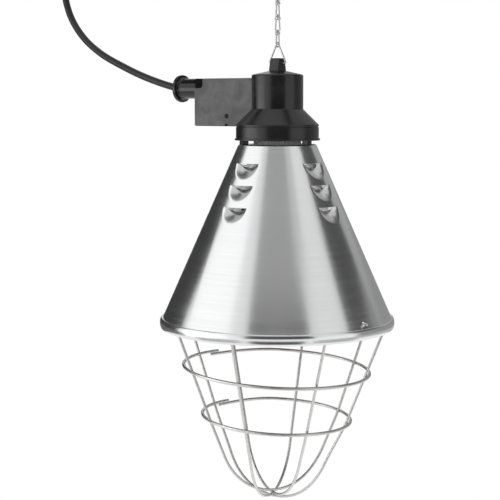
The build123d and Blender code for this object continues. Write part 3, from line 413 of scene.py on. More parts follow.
def punched(piece, tools, smooth=38):
    """The piece after its modifiers, with the tools' shapes cut away, as one plain mesh."""
    for tool in tools:
        cut = piece.modifiers.new("punch", "BOOLEAN")
        cut.operation = "DIFFERENCE"
        cut.solver = "EXACT"
        cut.object = tool
    seen = piece.evaluated_get(bpy.context.evaluated_depsgraph_get())
    mesh = bpy.data.meshes.new_from_object(seen)
    piece.modifiers.clear()
    piece.data = mesh
    shade_crisp(mesh, smooth)
    for tool in tools:
        bpy.data.objects.remove(tool)
    return piece


ear = joined_piece("hanger_ear", [rounded_block(ear_rows, ear_edge_radius)], 50)
drill_line = at_rim([(-ear_drill_reach, 0, ear_hole_height), (ear_drill_reach, 0, ear_hole_height)])
ear = punched(ear, [wire_piece("drill", drill_line, ear_hole_radius, (0, 0, 1), sides=24)])
dress(ear, black_moulding, "lamp", "black_moulding")

shade_height = 0.1596
foot_top = 0.1710
foot_half_width = 0.0030
foot_half_depth = 0.00335
foot_reach = 0.03215
foot_edge_radius = 0.0008
foot_turns = np.radians(-31 + 120 * np.arange(3))
foot_rows = [(rim_z + h, foot_half_width, foot_half_depth, -foot_reach) for h in (shade_height, foot_top)]
foot_grid = rounded_block(foot_rows, foot_edge_radius)
feet = joined_piece("housing_feet", [turned_about_z(foot_grid, a) for a in foot_turns], 50)
dress(feet, black_moulding, "lamp", "black_moulding")

# Vent collar
# A short ribbed sleeve of aluminium pressed on the lampholder.
# It shows between the housing's feet, in the gap that lets warm air out.

collar_outer = 0.02125
collar_inner = 0.02005
collar_low = 0.1556
collar_high = 0.1666
collar_rib_depth = 0.0005
collar_ribs = 48


def collar_grid(columns=384):
    """A sleeve: an upright rectangle carried round the axis, its outer side waved into ribs."""
    turn = full_turn(columns)[None, :]
    rib = collar_rib_depth * (1 + np.cos(collar_ribs * turn)) / 2
    outer, inner = collar_outer - rib, collar_inner + 0 * turn
    radius = np.concatenate([inner, outer, outer, outer, inner])
    middle = (collar_low + collar_high) / 2
    height = np.array([collar_low, collar_low, middle, collar_high, collar_high])[:, None] + rim_z
    return carried_round(radius, height, turn)


dull_aluminium = cloudy_finish("dull_aluminium", 0.55, 0.75, 0.50, 0.64, 90.0, grain=0, Metallic=0.3)
sleeve = collar_grid()
collar = mesh_piece("ribbed_collar", sleeve, grid_faces(*sleeve.shape[:2], close_rows=True), 60)
dress(collar, dull_aluminium, "lamp", "spun_aluminium", "vent_collar")

# Shade
# Spun from one aluminium sheet: a flat flange with the lampholder's hole, a tight shoulder, a
# straight cone and an edge rolled into a bead. Twelve louvres are pressed in, open at their tops.

shade_sheet = 0.0008
flange_radius = 0.0265
shade_top_radius = 0.0347
shoulder_start = 0.150
shoulder_gap = 0.0005
shoulder_radius = 0.0014
crease_radius = 0.1028
crease_height = 0.005
bead_radius = 0.1058
bead_half_height = 0.0048
bead_half_width = 0.0018
bead_turns = np.radians([-212, 118])
plain_cone_top = 0.090
louvre_tops = (0.1060, 0.12475, 0.1435)
louvre_length = 0.0142
louvre_turn = math.radians(-4.3)
louvre_half_width = 0.0134
louvre_depth = 0.0050
louvre_lip_drop = 0.0016
louvre_zone = 0.0155
louvre_row = 0.001
toe_power = 2.4
hollow_power = 1.3
depth_power = 1.2
cone_fall = (crease_radius - shade_top_radius) / (shade_height - crease_height)


def cone_radius(height):
    """The cone's outer radius at a height above the rim: it falls evenly from the crease."""
    return crease_radius - (height - crease_height) * cone_fall


def bead_line():
    """The rolled edge: an oval followed from its tucked-in end round its foot to the crease."""
    turn = np.linspace(*bead_turns, 34)
    middle = bead_radius - bead_half_width
    return np.stack([middle + bead_half_width * np.cos(turn), bead_half_height * np.sin(turn)], axis=1)


def cone_line(low, high, count):
    """Points up the cone between two heights."""
    height = np.linspace(low, high, count)
    return np.stack([cone_radius(height), height], axis=1)


def shoulder_line():
    """The top of the cone turned over a small radius into the flat flange, up to its hole."""
    corner = [(cone_radius(shoulder_start), shoulder_start), (shade_top_radius, shade_height),
              (flange_radius, shade_height)]
    return soft_corners(corner, shoulder_radius, 10)


def dent(height, across, top):
    """How far a louvre's sheet is pressed in and how far it is drawn down. Its width grows from a
    round toe like an ellipse; across it is a soft hollow; the depth grows with a power of the way to
    the slit and the draw with its square."""
    along = np.clip((height - top) / louvre_length + 1, 0, 1)
    half = louvre_half_width * np.sqrt(1 - (1 - along) ** toe_power) + 1e-6
    hollow = np.clip(1 - (across / half) ** 2, 0, 1) ** hollow_power
    return louvre_depth * hollow * along ** depth_power, louvre_lip_drop * hollow * along ** 2


def shade_strip(line, top=None, zone_columns=48, gap_columns=18):
    """One band of the shade: a profile carried round the axis. Columns keep a fixed width over the
    louvres and share out what is left between them. The louvre under top is pressed in."""
    radius, height = line[:, :1], line[:, 1:2]
    zone = np.linspace(-1, 1, zone_columns)[None, :] * louvre_zone / radius
    gap = np.linspace(0, 1, gap_columns + 2)[None, 1:-1]
    gap = zone[:, -1:] + gap * (math.pi / 2 - 2 * zone[:, -1:])
    quarter = np.hstack([zone, gap]) + louvre_turn
    turn = np.hstack([quarter + k * math.pi / 2 for k in range(4)])
    pressed, drawn = np.zeros_like(turn), np.zeros_like(turn)
    if top is not None:
        beside = np.hstack([zone * radius, np.full_like(gap, louvre_zone)])
        pressed, drawn = (np.tile(part, (1, 4)) for part in dent(height + 0 * beside, beside, top))
    slant = math.hypot(1, cone_fall)
    reach = radius + cone_fall * drawn - pressed / slant
    return carried_round(reach, rim_z + height - drawn - pressed * cone_fall / slant, turn)


def strip_with_louvre(bottom, top):
    """Rows up to a louvre's open top: wide ones on the plain cone, close ones over the louvre."""
    toe = top - louvre_length
    return np.vstack([bottom, cone_line(bottom[-1, 1], toe, 5)[1:], cone_line(toe, top, 26)[1:]])


def spun_aluminium_finish():
    """Sheet aluminium turned on a lathe: fine rings in gloss and height that follow the height
    along the axis, with soft cloudy handling marks over them."""
    material, shader, add = new_material("spun_aluminium")
    place = add("TexCoord", "Object")
    rings = add("Mapping", "Vector", Vector=place, Scale=(5.0, 5.0, 900.0))
    bands = add("Mapping", "Vector", Vector=place, Scale=(2.0, 2.0, 110.0))
    fine = noise(add, rings, 1.0, 3.0)
    mixed = add("Mix", "Result", Factor=0.45, A=fine, B=noise(add, place, 26.0, 5.0))
    ringed = bumped(add, fine, 0.01, 0.0002)
    feed(shader, Metallic=1.0,
         Base_Color=ramp(add, fine, (0.795, 0.80, 0.805), (0.84, 0.843, 0.848), 0.3, 0.7),
         Roughness=ramp(add, mixed, 0.165, 0.235, 0.3, 0.7),
         Normal=bumped(add, noise(add, bands, 1.0, 2.0), 0.004, 0.0010, Normal=ringed))
    return material


spun_aluminium = spun_aluminium_finish()
edge = np.vstack([bead_line(), cone_line(crease_height, plain_cone_top, 24)])
bands = [shade_strip(strip_with_louvre(edge, louvre_tops[0]), louvre_tops[0])]
for low, top in zip(louvre_tops[:-1], louvre_tops[1:]):
    bands.append(shade_strip(strip_with_louvre(cone_line(low, low + louvre_row, 2), top), top))
upper = np.vstack([cone_line(louvre_tops[-1], shoulder_start - shoulder_gap, 4), shoulder_line()])
bands.append(shade_strip(upper))
shade = joined_piece("shade_cone", bands, 38)
sheet = shade.modifiers.new("sheet", "SOLIDIFY")
sheet.thickness = shade_sheet
sheet.offset = -1

guard_hole_radius = 0.0019
guard_hole_height = 0.0085
guard_hook_turns = np.radians([82, 262])
punch_reach = 0.004


def punch(angle):
    """A round tool that points out through the cone at the guard's hook."""
    wall = cone_radius(guard_hole_height)
    path = np.array([(0, -wall - reach, guard_hole_height) for reach in (-punch_reach, punch_reach)])
    path = at_rim(turned_about_z(path, angle))
    return wire_piece("punch", path, guard_hole_radius, (0, 0, 1), sides=24)


shade = punched(shade, [punch(a) for a in guard_hook_turns])
dress(shade, spun_aluminium, "lamp", "spun_aluminium", "shade")

# Lampholder and what holds the shade
# A porcelain lampholder with a brass screw shell hangs on a threaded brass tube in the housing.
# A zinc ring and three screws under the flange pull the shade up against the housing's feet.


def finish_nodes(material, *names):
    """Give nodes whose shape is kept their finish."""
    for name in names:
        kept = nodes[name]
        kept.data.materials.clear()
        kept.data.materials.append(material)


porcelain = cloudy_finish(
    "porcelain", (0.72, 0.70, 0.66), (0.80, 0.79, 0.76), 0.12, 0.22, 60.0, Coat_Weight=0.4)
brass = cloudy_finish("brass", (0.62, 0.44, 0.18), (0.78, 0.58, 0.27), 0.20, 0.34, 140.0, Metallic=1.0)
zinc_screw = cloudy_finish(
    "zinc_screw", (0.50, 0.51, 0.52), (0.68, 0.68, 0.67), 0.26, 0.40, 220.0, Metallic=1.0)
finish_nodes(porcelain, "lampholder")
finish_nodes(brass, "screw_shell", "centre_contact", "nipple")
finish_nodes(zinc_screw, "shade_clamp_ring", "clamp_screws", "lock_nut", "lock_washer")

# Bulb
# An infrared reflector bulb: blown glass with a red face and a silvered cone, a nickel plated
# screw cap and, behind the glass, a stem that carries the coiled filament.

glass_wall = 0.0009
bulb_length = 0.143
bulb_max_radius = 0.0625
bulb_dome_radius = 0.110
bulb_shoulder_radius = 0.018
bulb_neck_radius = 0.017
bulb_neck_length = 0.0051
bulb_stub_radius = 0.0126
bulb_stub_low = 0.14615
bulb_stub_rise = 0.007
bulb_stub_length = 0.007
bulb_corners = (0.0024, 0.0022, 0.0016)
silver_edge_rise = 0.008
silver_edge_blur = 0.001
dome_middle = bulb_stub_low - bulb_length + bulb_dome_radius
shoulder_middle_radius = bulb_max_radius - bulb_shoulder_radius
dome_reach = bulb_dome_radius - bulb_shoulder_radius
shoulder_middle = dome_middle - math.sqrt(dome_reach ** 2 - shoulder_middle_radius ** 2)


def bulb_line(inset):
    """The bulb's half section: a shallow dome, a round shoulder, a cone that touches it, the neck
    and the stub in the cap. The inside is the same line a wall's thickness in."""
    swing = math.asin(shoulder_middle_radius / dome_reach)
    taper = shoulder_middle_radius - bulb_neck_radius
    rise = bulb_stub_low - bulb_stub_rise - bulb_neck_length - shoulder_middle
    cone = math.asin(bulb_shoulder_radius / math.hypot(taper, rise)) + math.atan2(taper, rise)
    dome_end = swing - math.pi / 2
    dome = arc((0, dome_middle), bulb_dome_radius - inset, -math.pi / 2, dome_end, 26)
    dome[0, 0] = 0
    shoulder = (shoulder_middle_radius, shoulder_middle)
    bend = arc(shoulder, bulb_shoulder_radius - inset, dome_end, cone, 26)
    neck = bulb_neck_radius - inset
    foot = bend[-1, 1] + (bend[-1, 0] - neck) / math.tan(cone)
    stub = bulb_stub_radius - inset
    corners = [bend[-1], (neck, foot), (neck, bulb_stub_low - bulb_stub_rise),
               (stub, bulb_stub_low), (stub, bulb_stub_low + bulb_stub_length)]
    return np.vstack([dome, bend[1:-1], soft_corners(corners, bulb_corners)])


def ruby_glass_finish():
    """Red lacquered glass below, and above the shoulder a silvered cone: metal instead of clear."""
    material, shader, add = new_material("ruby_glass")
    place = add("TexCoord", "Object")
    edge = rim_z + shoulder_middle + silver_edge_rise
    across_edge = {"Value": add("SeparateXYZ", "Z", Vector=place),
                   "From_Min": edge - silver_edge_blur, "From_Max": edge + silver_edge_blur}
    silver = add("MapRange", "Result", **across_edge)
    clear = add("MapRange", "Result", **across_edge, To_Min=0.85, To_Max=0.0)
    feed(shader, Metallic=silver, Transmission_Weight=clear,
         Base_Color=ramp(add, silver, (0.42, 0.008, 0.010), (0.72, 0.70, 0.69)),
         Roughness=ramp(add, noise(add, place, 50.0, 4.0), 0.06, 0.14, 0.3, 0.7))
    return material


ruby_glass = ruby_glass_finish()
glass_line = np.vstack([bulb_line(0), bulb_line(glass_wall)[::-1]])
bulb = turned_piece("bulb_envelope", glass_line, 96, 50)
dress(bulb, ruby_glass, "bulb", "ruby_glass", "bulb_glass")
clear_glass = cloudy_finish(
    "clear_glass", (0.85, 0.87, 0.86), (0.92, 0.94, 0.93), 0.05, 0.12, 90.0, Transmission_Weight=0.85)
cap_metal = cloudy_finish(
    "cap_metal", (0.56, 0.54, 0.50), (0.70, 0.68, 0.64), 0.22, 0.36, 160.0, Metallic=1.0)
tungsten = cloudy_finish("tungsten", (0.20, 0.20, 0.21), (0.32, 0.32, 0.33), 0.35, 0.5, 300.0, Metallic=1.0)
finish_nodes(clear_glass, "bulb_stem")
finish_nodes(cap_metal, "bulb_cap")
finish_nodes(brass, "bulb_contact")
finish_nodes(tungsten, "filament")

# Side box
# A black box moulded to fit the housing's barrel, closed by a dull grey front cover with one screw.
# Inside are the terminals, the cord clamp and the half power switch, whose rocker shows at the back.

soft_edge_angle = math.radians(35)
seam_gap = 1e-5


def soften(name, width):
    """Break the sharp edges of a node that keeps its shape: seams are closed, then corners beyond
    an angle are rounded to a width."""
    kept = nodes[name]
    weld = kept.modifiers.new("weld", "WELD")
    weld.merge_threshold = seam_gap
    rounding = kept.modifiers.new("edges", "BEVEL")
    rounding.width = width
    rounding.segments = 3
    rounding.limit_method = "ANGLE"
    rounding.angle_limit = soft_edge_angle
    rounding.harden_normals = True


def cover_finish():
    """Dull grey cover: smudged by hands in soft clouds, with faint scratches along it and a grain."""
    material, shader, add = new_material("cover_moulding")
    place = add("TexCoord", "Object")
    smudge = noise(add, place, 62.0, 4.0, Distortion=0.8)
    along = add("Mapping", "Vector", Vector=place, Scale=(60.0, 60.0, 900.0), Rotation=(0, 0.5, 0))
    scratched = bumped(add, noise(add, along, 1.0, 2.0), 0.06, 0.0003)
    feed(shader, Base_Color=ramp(add, smudge, (0.046, 0.046, 0.048), (0.132, 0.132, 0.136), 0.32, 0.68),
         Roughness=ramp(add, smudge, 0.42, 0.62, 0.3, 0.7),
         Normal=bumped(add, noise(add, place, 1800.0, 3.0), 0.2, 0.0003, Normal=scratched))
    return material


cover_moulding = cover_finish()
rocker_moulding = cloudy_finish(
    "rocker_moulding", (0.012, 0.012, 0.013), (0.022, 0.022, 0.023), 0.14, 0.24, 120.0)
core_insulation = cloudy_finish("core_insulation", (0.09, 0.08, 0.07), (0.15, 0.13, 0.12), 0.45, 0.6, 160.0)
black_screw = cloudy_finish("black_screw", 0.006, 0.014, 0.5, 0.7, 240.0, Specular_IOR_Level=0.2)
finish_nodes(black_moulding, "switch_box")
finish_nodes(cover_moulding, "box_cover", "cord_clamp", "terminal_block", "switch_body", "diode")
finish_nodes(rocker_moulding, "rocker")
finish_nodes(black_screw, "cover_screw")
finish_nodes(zinc_screw, "cord_clamp_screws", "terminal_screws")
finish_nodes(core_insulation, "supply_wires", "lamp_wires", "coil_tie")
soft_edges = (("switch_box", 0.0006), ("box_cover", 0.0005), ("switch_body", 0.0003), ("rocker", 0.0004))
for name, width in soft_edges:
    soften(name, width)

# A rounded block fills the notch at the cover's corner above the gland. It is painted shade: a near-black,
# matt, barely reflecting block that stands in for the shaded recess there.
tongue_x = -0.0807
tongue_y = -0.0098
tongue_edge_radius = 0.0010
tongue_sections = ((0.2094, 0.0042, 0.0005), (0.2100, 0.0047, 0.0010),
                   (0.2176, 0.0047, 0.0010), (0.2183, 0.0042, 0.0005))
painted_shade_black = cloudy_finish("painted_shade_black", 0.003, 0.007, 0.8, 0.95, 90.0, Specular_IOR_Level=0.1)
tongue_rows = [(rim_z + h, wide, deep, tongue_y) for h, wide, deep in tongue_sections]
tongue_grid = rounded_block(tongue_rows, tongue_edge_radius) + np.array([tongue_x, 0, 0])
tongue = joined_piece("notch_painted_shade", [tongue_grid], 50)
dress(tongue, painted_shade_black, "lamp", "black_moulding")

# Cable gland
# A bell-mouthed grip of black rubber pressed through the box's end wall.
# Its mouth lets the lead bend without a kink.

gland_height = 0.2093
gland_fit = 0.00005
box_end = -0.0854
cord_radius = 0.0033
gland_bore = cord_radius + gland_fit
gland_profile = np.array([
    (-0.0754, gland_bore), (-0.0754, 0.0064), (-0.0834, 0.0064), (-0.0834, 0.0052), (box_end, 0.0052),
    (box_end, 0.0093), (-0.1074, 0.0093), (-0.1074, 0.0127), (-0.1114, 0.0127), (-0.1114, gland_bore),
    (-0.0754, gland_bore),
])
gland_corners = (0.0005, 0.0005, 0.0003, 0.0003, 0.0008, 0.0032, 0.0012, 0.0017, 0.0024)


def turned_about_cord(profile, height, columns=64):
    """A lathe shape about a line along X: each profile point (x, radius) carried round that line."""
    turn = full_turn(columns)[None, :]
    x, radius = profile[:, :1], profile[:, 1:2]
    across, up = radius * np.cos(turn), radius * np.sin(turn)
    return np.stack([x + 0 * turn, across, rim_z + height + up], axis=-1)


rubber_looks = {"low": (0.004, 0.004, 0.0045), "high": (0.010, 0.010, 0.0105), "scale": 55.0, "grain": 0.05,
                "grain_scale": 3000.0, "grain_depth": 0.0003, "colour_end": 0.75}
polished_rubber = cloudy_finish("polished_rubber", rough_low=0.13, rough_high=0.22, **rubber_looks)
black_rubber = cloudy_finish("black_rubber", rough_low=0.36, rough_high=0.50, **rubber_looks)
gland_grid = turned_about_cord(soft_corners(gland_profile, gland_corners), gland_height)
gland = mesh_piece("bell_gland", gland_grid, grid_faces(*gland_grid.shape[:2]))
dress(gland, polished_rubber, "lamp", "black_rubber", "cable_gland")
finish_nodes(black_rubber, "lead_stub", "plug_body")

# Lead
# Round black rubber mains lead. It leaves the gland, swings up beside the chain and is wound into a
# coil that a strap holds to the chain; a moulded earthed plug ends it.

cord_route = np.array([
    (-0.1114, 0, 0.2093), (-0.1275, 0, 0.2124), (-0.162, 0.0015, 0.2224), (-0.190, 0.004, 0.2328),
    (-0.214, 0.005, 0.2428), (-0.240, 0.0065, 0.259), (-0.261, 0.008, 0.283), (-0.270, 0.009, 0.314),
    (-0.262, 0.010, 0.346), (-0.238, 0.011, 0.373), (-0.200, 0.012, 0.391), (-0.154, 0.013, 0.398),
    (-0.105, 0.0135, 0.396), (-0.060, 0.014, 0.3895), (-0.026, 0.0145, 0.3855), (0.0032, 0.0175, 0.3858),
])
coil_middle = (0.036, 0.014, 0.344)
coil_radius = 0.036
coil_pitch = 0.0066
coil_lanes = np.array([(1, 1), (0, 1), (-1, 1), (-1, 0), (-1, -1), (0, -1), (1, -1), (0, 0)])
turn_points = 16
lane_change_start = 0.55
lane_change_run = 0.35
control_spread = 1.4
plug_start = 0.0626
plug_inset = 0.006
plug_run_start = 0.050
plug_y = 0.014
plug_height = 0.380


def smooth_step(way):
    """A soft step: three times the square of the way less twice its cube, level before and after."""
    way = np.clip(way, 0, 1)
    return way ** 2 * (3 - 2 * way)


def coil_points():
    """The wound turns: clockwise circles from the coil's top, with control points a little outside
    them. Each turn lies in a lane of a three by three bundle, and moves over to the next lane in a
    soft step while it comes up on the left."""
    along = np.arange(turn_points * len(coil_lanes) + 1) / turn_points
    lane = np.minimum(np.floor(along).astype(int), len(coil_lanes) - 1)
    after = np.minimum(lane + 1, len(coil_lanes) - 1)
    ease = smooth_step((along - lane - lane_change_start) / lane_change_run)[:, None]
    offset = coil_pitch * ((1 - ease) * coil_lanes[lane] + ease * coil_lanes[after])
    radius = (coil_radius + offset[:, 0]) / math.cos(math.pi / turn_points / control_spread)
    angle = math.pi / 2 - 2 * math.pi * along
    return np.stack([coil_middle[0] + radius * np.cos(angle), coil_middle[1] + offset[:, 1],
                     coil_middle[2] + radius * np.sin(angle)], axis=1)


def smooth_line(name, points):
    """The points of a smooth curve of the third order that has the given control points and starts
    and ends on the first and last."""
    data = bpy.data.curves.new(name, "CURVE")
    data.dimensions = "3D"
    spline = data.splines.new("NURBS")
    spline.points.add(len(points) - 1)
    spline.points.foreach_set("co", np.hstack([points, np.ones((len(points), 1))]).ravel())
    spline.order_u = 3
    spline.use_endpoint_u = True
    spline.resolution_u = 8
    holder = placed(name, data)
    line = bpy.data.meshes.new_from_object(holder)
    read = np.empty(3 * len(line.vertices))
    line.vertices.foreach_get("co", read)
    bpy.data.objects.remove(holder)
    return read.reshape(-1, 3)


plug_entry = np.array([(x, plug_y, plug_height) for x in (plug_run_start, plug_start + plug_inset)])
cord_control = at_rim(np.vstack([cord_route, coil_points(), plug_entry]))
cord_line = smooth_line("lead_line", cord_control)
lead = wire_piece("mains_lead", cord_line, cord_radius, (0, 1, 0), sides=14)
lead.data.materials.append(black_rubber)
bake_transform(lead)
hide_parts("lead", "lead_coil")
finish_nodes(brass, "plug_pins", "plug_earth_clips")
soften("plug_body", 0.0008)
soften("coil_tie", 0.0003)

# Wire guard
# Four U-shaped wires cross under the bulb and are spot welded to three hoops; two spring hooks on
# the top hoop snap out through holes in the shade. All of it is zinc plated after welding.

guard_wire = 0.0022
hoop_wire = 0.0025
plated_leg_radius = 0.00125
plated_hoop_radius = 0.0015
top_hoop_radius = 0.10047
top_hoop_drop = 0.0005
guard_narrowing = 0.0330
guard_fall = 0.0872
guard_slope = guard_narrowing / guard_fall
guard_lean = math.atan(guard_slope)
upper_hoop_drop = 0.0431
lower_hoop_drop = 0.0877
upper_hoop_radius = top_hoop_radius - guard_slope * (upper_hoop_drop - top_hoop_drop)
lower_hoop_radius = top_hoop_radius - guard_slope * (lower_hoop_drop - top_hoop_drop)
weld_depth = 0.00025
weld_offset = ((guard_wire + hoop_wire) / 2 - weld_depth) / math.cos(guard_lean)
guard_bottom = -0.1635
crossing_step = 0.00225
leg_top = 0.0015
leg_points = 24
hoop_lean = math.radians(3.0)
hoop_low_turn = math.radians(109)
hoop_lap_run = math.radians(48)
hoop_lap_step = 1.02 * hoop_wire
hoop_shift_share = 0.2
guard_turns = np.radians([15.0, 62.0, 102.5, -28.0])
guard_offsets = (-0.0050, -0.0035, 0.0020, -0.0005)
guard_leans = np.radians([0, 0, 4.4, 0])
guard_order = (1, 2, 0, 3)
guard_pulls = ((0, 0), (0.0020, 0), (0.0048, 0.0022), (0.0010, 0.0038))
pull_ease = 0.12
pull_peak = 0.392


def leg_radius(height):
    """How far a guard wire's middle is from the axis at a height: just inside the hoops."""
    return upper_hoop_radius - weld_offset + guard_slope * (height + upper_hoop_drop)


def guard_line(bottom):
    """A U: two straight legs that lean outwards and a round bottom that they touch."""
    rise = math.cos(guard_lean) - guard_slope * (1 - math.sin(guard_lean))
    radius = (leg_radius(0) + guard_slope * bottom) / rise
    round_part = arc((0, bottom + radius), radius, math.pi + guard_lean, 2 * math.pi - guard_lean, 60)
    left = np.linspace((-leg_radius(leg_top), leg_top), round_part[0], leg_points)[:-1]
    return stand_in_yz(np.vstack([left, round_part, (left * np.array([-1, 1]))[::-1]]))


def hoop_line(radius, drop, lap_turn, overlap, count=220):
    """A leaning hoop of wire whose ends pass each other: a circle that runs a little more than once
    round, goes down a wire's width in a soft step before its ends meet, and hangs lower on one side."""
    along = np.linspace(-overlap, 2 * math.pi + overlap, count)
    way = (along - (2 * math.pi - hoop_lap_run)) / hoop_lap_run
    ring = carried_round(radius, -hoop_lap_step * smooth_step(way), along + lap_turn - hoop_low_turn)
    c, s = math.cos(hoop_lean), math.sin(hoop_lean)
    ring = ring @ np.array([[1, 0, 0], [0, c, s], [0, -s, c]])
    ring = ring + np.array([0, hoop_shift_share * guard_slope * radius * s, -drop])
    return turned_about_z(ring, hoop_low_turn)


def squeezed(points, bottom, pulls):
    """A U whose two legs were pulled inwards under the lower hoop: the pull eases in at the hoop,
    grows evenly with the way down and dies out at the bottom as one less the cube of that way."""
    down = np.clip((points[:, 2] + lower_hoop_drop) / (bottom + lower_hoop_drop), 0, 1)
    growing = np.hypot(down, pull_ease) - pull_ease
    pull = np.where(points[:, 1] < 0, *pulls) * growing * (1 - down ** 3) / pull_peak
    return points - stand_in_yz(np.stack([np.sign(points[:, 1]) * pull, 0 * pull], axis=1))


def leaned(points, bottom, offset, lean):
    """A U moved sideways out of its plane by an offset and leaned about its lowest point."""
    c, s = math.cos(lean), math.sin(lean)
    up = points - bottom * straight_up
    return up @ np.array([[c, 0, -s], [0, 1, 0], [s, 0, c]]) + np.array([offset, 0, bottom])


guard_lines = []
for number, turn in enumerate(guard_turns):
    bottom = guard_bottom + crossing_step * guard_order[number]
    line = squeezed(guard_line(bottom), bottom, guard_pulls[number])
    line = leaned(line, bottom, guard_offsets[number], guard_leans[number])
    line = turned_about_z(line, turn)
    guard_lines.append(line)
    across = (math.cos(turn), math.sin(turn), 0)
    leg = wire_piece(f"guard_loop_{number + 1}", at_rim(line), plated_leg_radius, across, sides=16)
    dress(leg, zinc_wire, "guard", "zinc_wire", f"guard_wire_{number + 1}")

hoop_sizes = (("upper", upper_hoop_radius, upper_hoop_drop, -100.0, 3.2),
              ("lower", lower_hoop_radius, lower_hoop_drop, -96.5, 5.3))
for name, radius, drop, lap, overlap in hoop_sizes:
    line = at_rim(hoop_line(radius, drop, math.radians(lap), math.radians(overlap)))
    hoop = wire_piece(f"guard_hoop_{name}", line, plated_hoop_radius, (0, 0, 1), sides=16)
    dress(hoop, zinc_wire, "guard", "zinc_wire", f"guard_ring_{name}")

top_line = at_rim(carried_round(top_hoop_radius, -top_hoop_drop, full_turn(160)))
top_hoop = wire_piece("guard_hoop_top", top_line, hoop_wire / 2, (0, 0, 1), closed=True, sides=16)
dress(top_hoop, zinc_wire, "guard", "zinc_wire", "guard_ring_top")

spring_foot = -0.0015
spring_stand_out = 0.004
spring_bend = 0.002
spring_radius = top_hoop_radius - (guard_wire + hoop_wire) / 2 + weld_depth
spring_reach = cone_radius(guard_hole_height) + spring_stand_out
spring_corners = [(0, -spring_radius, spring_foot), (0, -spring_radius, guard_hole_height),
                  (0, -spring_reach, guard_hole_height)]
spring_line = soft_corners(spring_corners, spring_bend)
spring_grids = [wire_grid(at_rim(turned_about_z(spring_line, a)), guard_wire / 2,
                          turned_about_z(np.array([[1.0, 0, 0]]), a)[0]) for a in guard_hook_turns]
guard_hooks = joined_piece("guard_spring_hooks", spring_grids)
dress(guard_hooks, zinc_wire, "guard", "zinc_wire", "guard_hooks")

weld_size = np.array([0.0016, 0.0016, 0.00128])


def weld_grid(place, rings=7, sides=12):
    """A spot weld's bead: a small squashed ball of metal round the place where two wires meet."""
    polar = np.linspace(0, math.pi, rings)[:, None]
    turn = full_turn(sides)[None, :]
    wide = np.sin(polar)
    ball = np.stack([wide * np.cos(turn), wide * np.sin(turn), np.cos(polar) + 0 * turn], axis=-1)
    return place + ball * weld_size


def weld_places(radius, drop, leaning):
    """Where the legs meet a hoop: on each leg, at the height of the leaning hoop there, moved out
    to the side of the wire that touches the hoop."""
    places = []
    for line in guard_lines:
        for leg in (line[:leg_points], line[:-leg_points - 1:-1]):
            turn = np.arctan2(leg[:, 0], -leg[:, 1])
            lean = radius * math.sin(hoop_lean) * np.cos(turn - hoop_low_turn) * leaning
            above = leg[:, 2] + drop + lean
            place = np.array([np.interp(0, above[::-1], leg[::-1, k]) for k in range(3)])
            out = place * np.array([1, 1, 0]) / math.hypot(*place[:2])
            places.append(place + guard_wire / 2 * out)
    return at_rim(places)


weld_spots = np.vstack([
    weld_places(top_hoop_radius, top_hoop_drop, 0),
    weld_places(upper_hoop_radius, upper_hoop_drop, 1),
    weld_places(lower_hoop_radius, lower_hoop_drop, 1),
])
welds = joined_piece("guard_welds", [weld_grid(p) for p in weld_spots])
dress(welds, zinc_wire, "guard", "zinc_wire")

# Studio
# The lamp hangs in front of white paper. Two soft lamps stand left and right, and white, grey and
# black boards out of the picture give the bright metal something to mirror.

view_turn = math.radians(35.09)
view_distance = 1.2
view_height = 0.1958
aim_left = 0.0244
aim_height = 0.0644
lens_length = 96.5
toward_camera = np.array([math.sin(view_turn), -math.cos(view_turn), 0])
to_the_right = np.array([math.cos(view_turn), math.sin(view_turn), 0])


def look_at(thing, target):
    """Turn a camera or a soft lamp so that it points at a place."""
    thing.rotation_euler = (Vector(target) - thing.location).to_track_quat("-Z", "Y").to_euler()


camera_data = bpy.data.cameras.new("camera")
camera_data.lens = lens_length
camera_data.sensor_width = 36
camera_data.clip_start = 0.05
camera = placed("camera", camera_data)
camera.location = view_distance * toward_camera + (rim_z + view_height) * straight_up
look_at(camera, -aim_left * to_the_right + (rim_z + aim_height) * straight_up)
bpy.context.scene.camera = camera
bpy.context.scene.view_settings.view_transform = "Standard"


def white_where_seen(tree):
    """One for rays from the camera, from mirrors and through glass, nought for all others."""
    path = tree.nodes.new("ShaderNodeLightPath")
    seen = path.outputs["Is Camera Ray"]
    for kind in ("Is Glossy Ray", "Is Transmission Ray"):
        either = tree.nodes.new("ShaderNodeMath")
        either.operation = "MAXIMUM"
        tree.links.new(seen, either.inputs[0])
        tree.links.new(path.outputs[kind], either.inputs[1])
        seen = either.outputs[0]
    return seen


world = bpy.data.worlds.new("paper")
world.use_nodes = True
bpy.context.scene.world = world
daylight = world.node_tree.nodes.new("ShaderNodeMapRange")
feed(daylight, Value=white_where_seen(world.node_tree), To_Min=0.55, To_Max=1.0)
feed(world.node_tree.nodes["Background"], Color=(1, 1, 1, 1), Strength=daylight.outputs["Result"])

floor_drop = 0.30
floor_size = 6.0
floor_z = rim_z + guard_bottom - floor_drop
floor_u = np.linspace(-floor_size, floor_size, 3)
floor_grid = np.stack(np.meshgrid(floor_u, floor_u) + [np.full((3, 3), floor_z)], axis=-1)
floor = mesh_piece("floor", floor_grid, grid_faces(3, 3, close_columns=False))
paper, paper_shader, add_paper = new_material("white_paper")
paper_tree = paper.node_tree
feed(paper_shader, Base_Color=(0.80, 0.80, 0.80, 1), Roughness=0.9)
glow = add_paper("Emission", "Emission", Color=(1, 1, 1, 1), Strength=1.0)
swap = add_paper("MixShader", "Shader", Fac=white_where_seen(paper_tree))
paper_tree.links.new(paper_shader.outputs["BSDF"], swap.node.inputs[1])
paper_tree.links.new(glow, swap.node.inputs[2])
feed(paper_tree.nodes["Material Output"], Surface=swap)
floor.data.materials.append(paper)

lamp_middle_height = 0.06
lamp_middle = (rim_z + lamp_middle_height) * straight_up


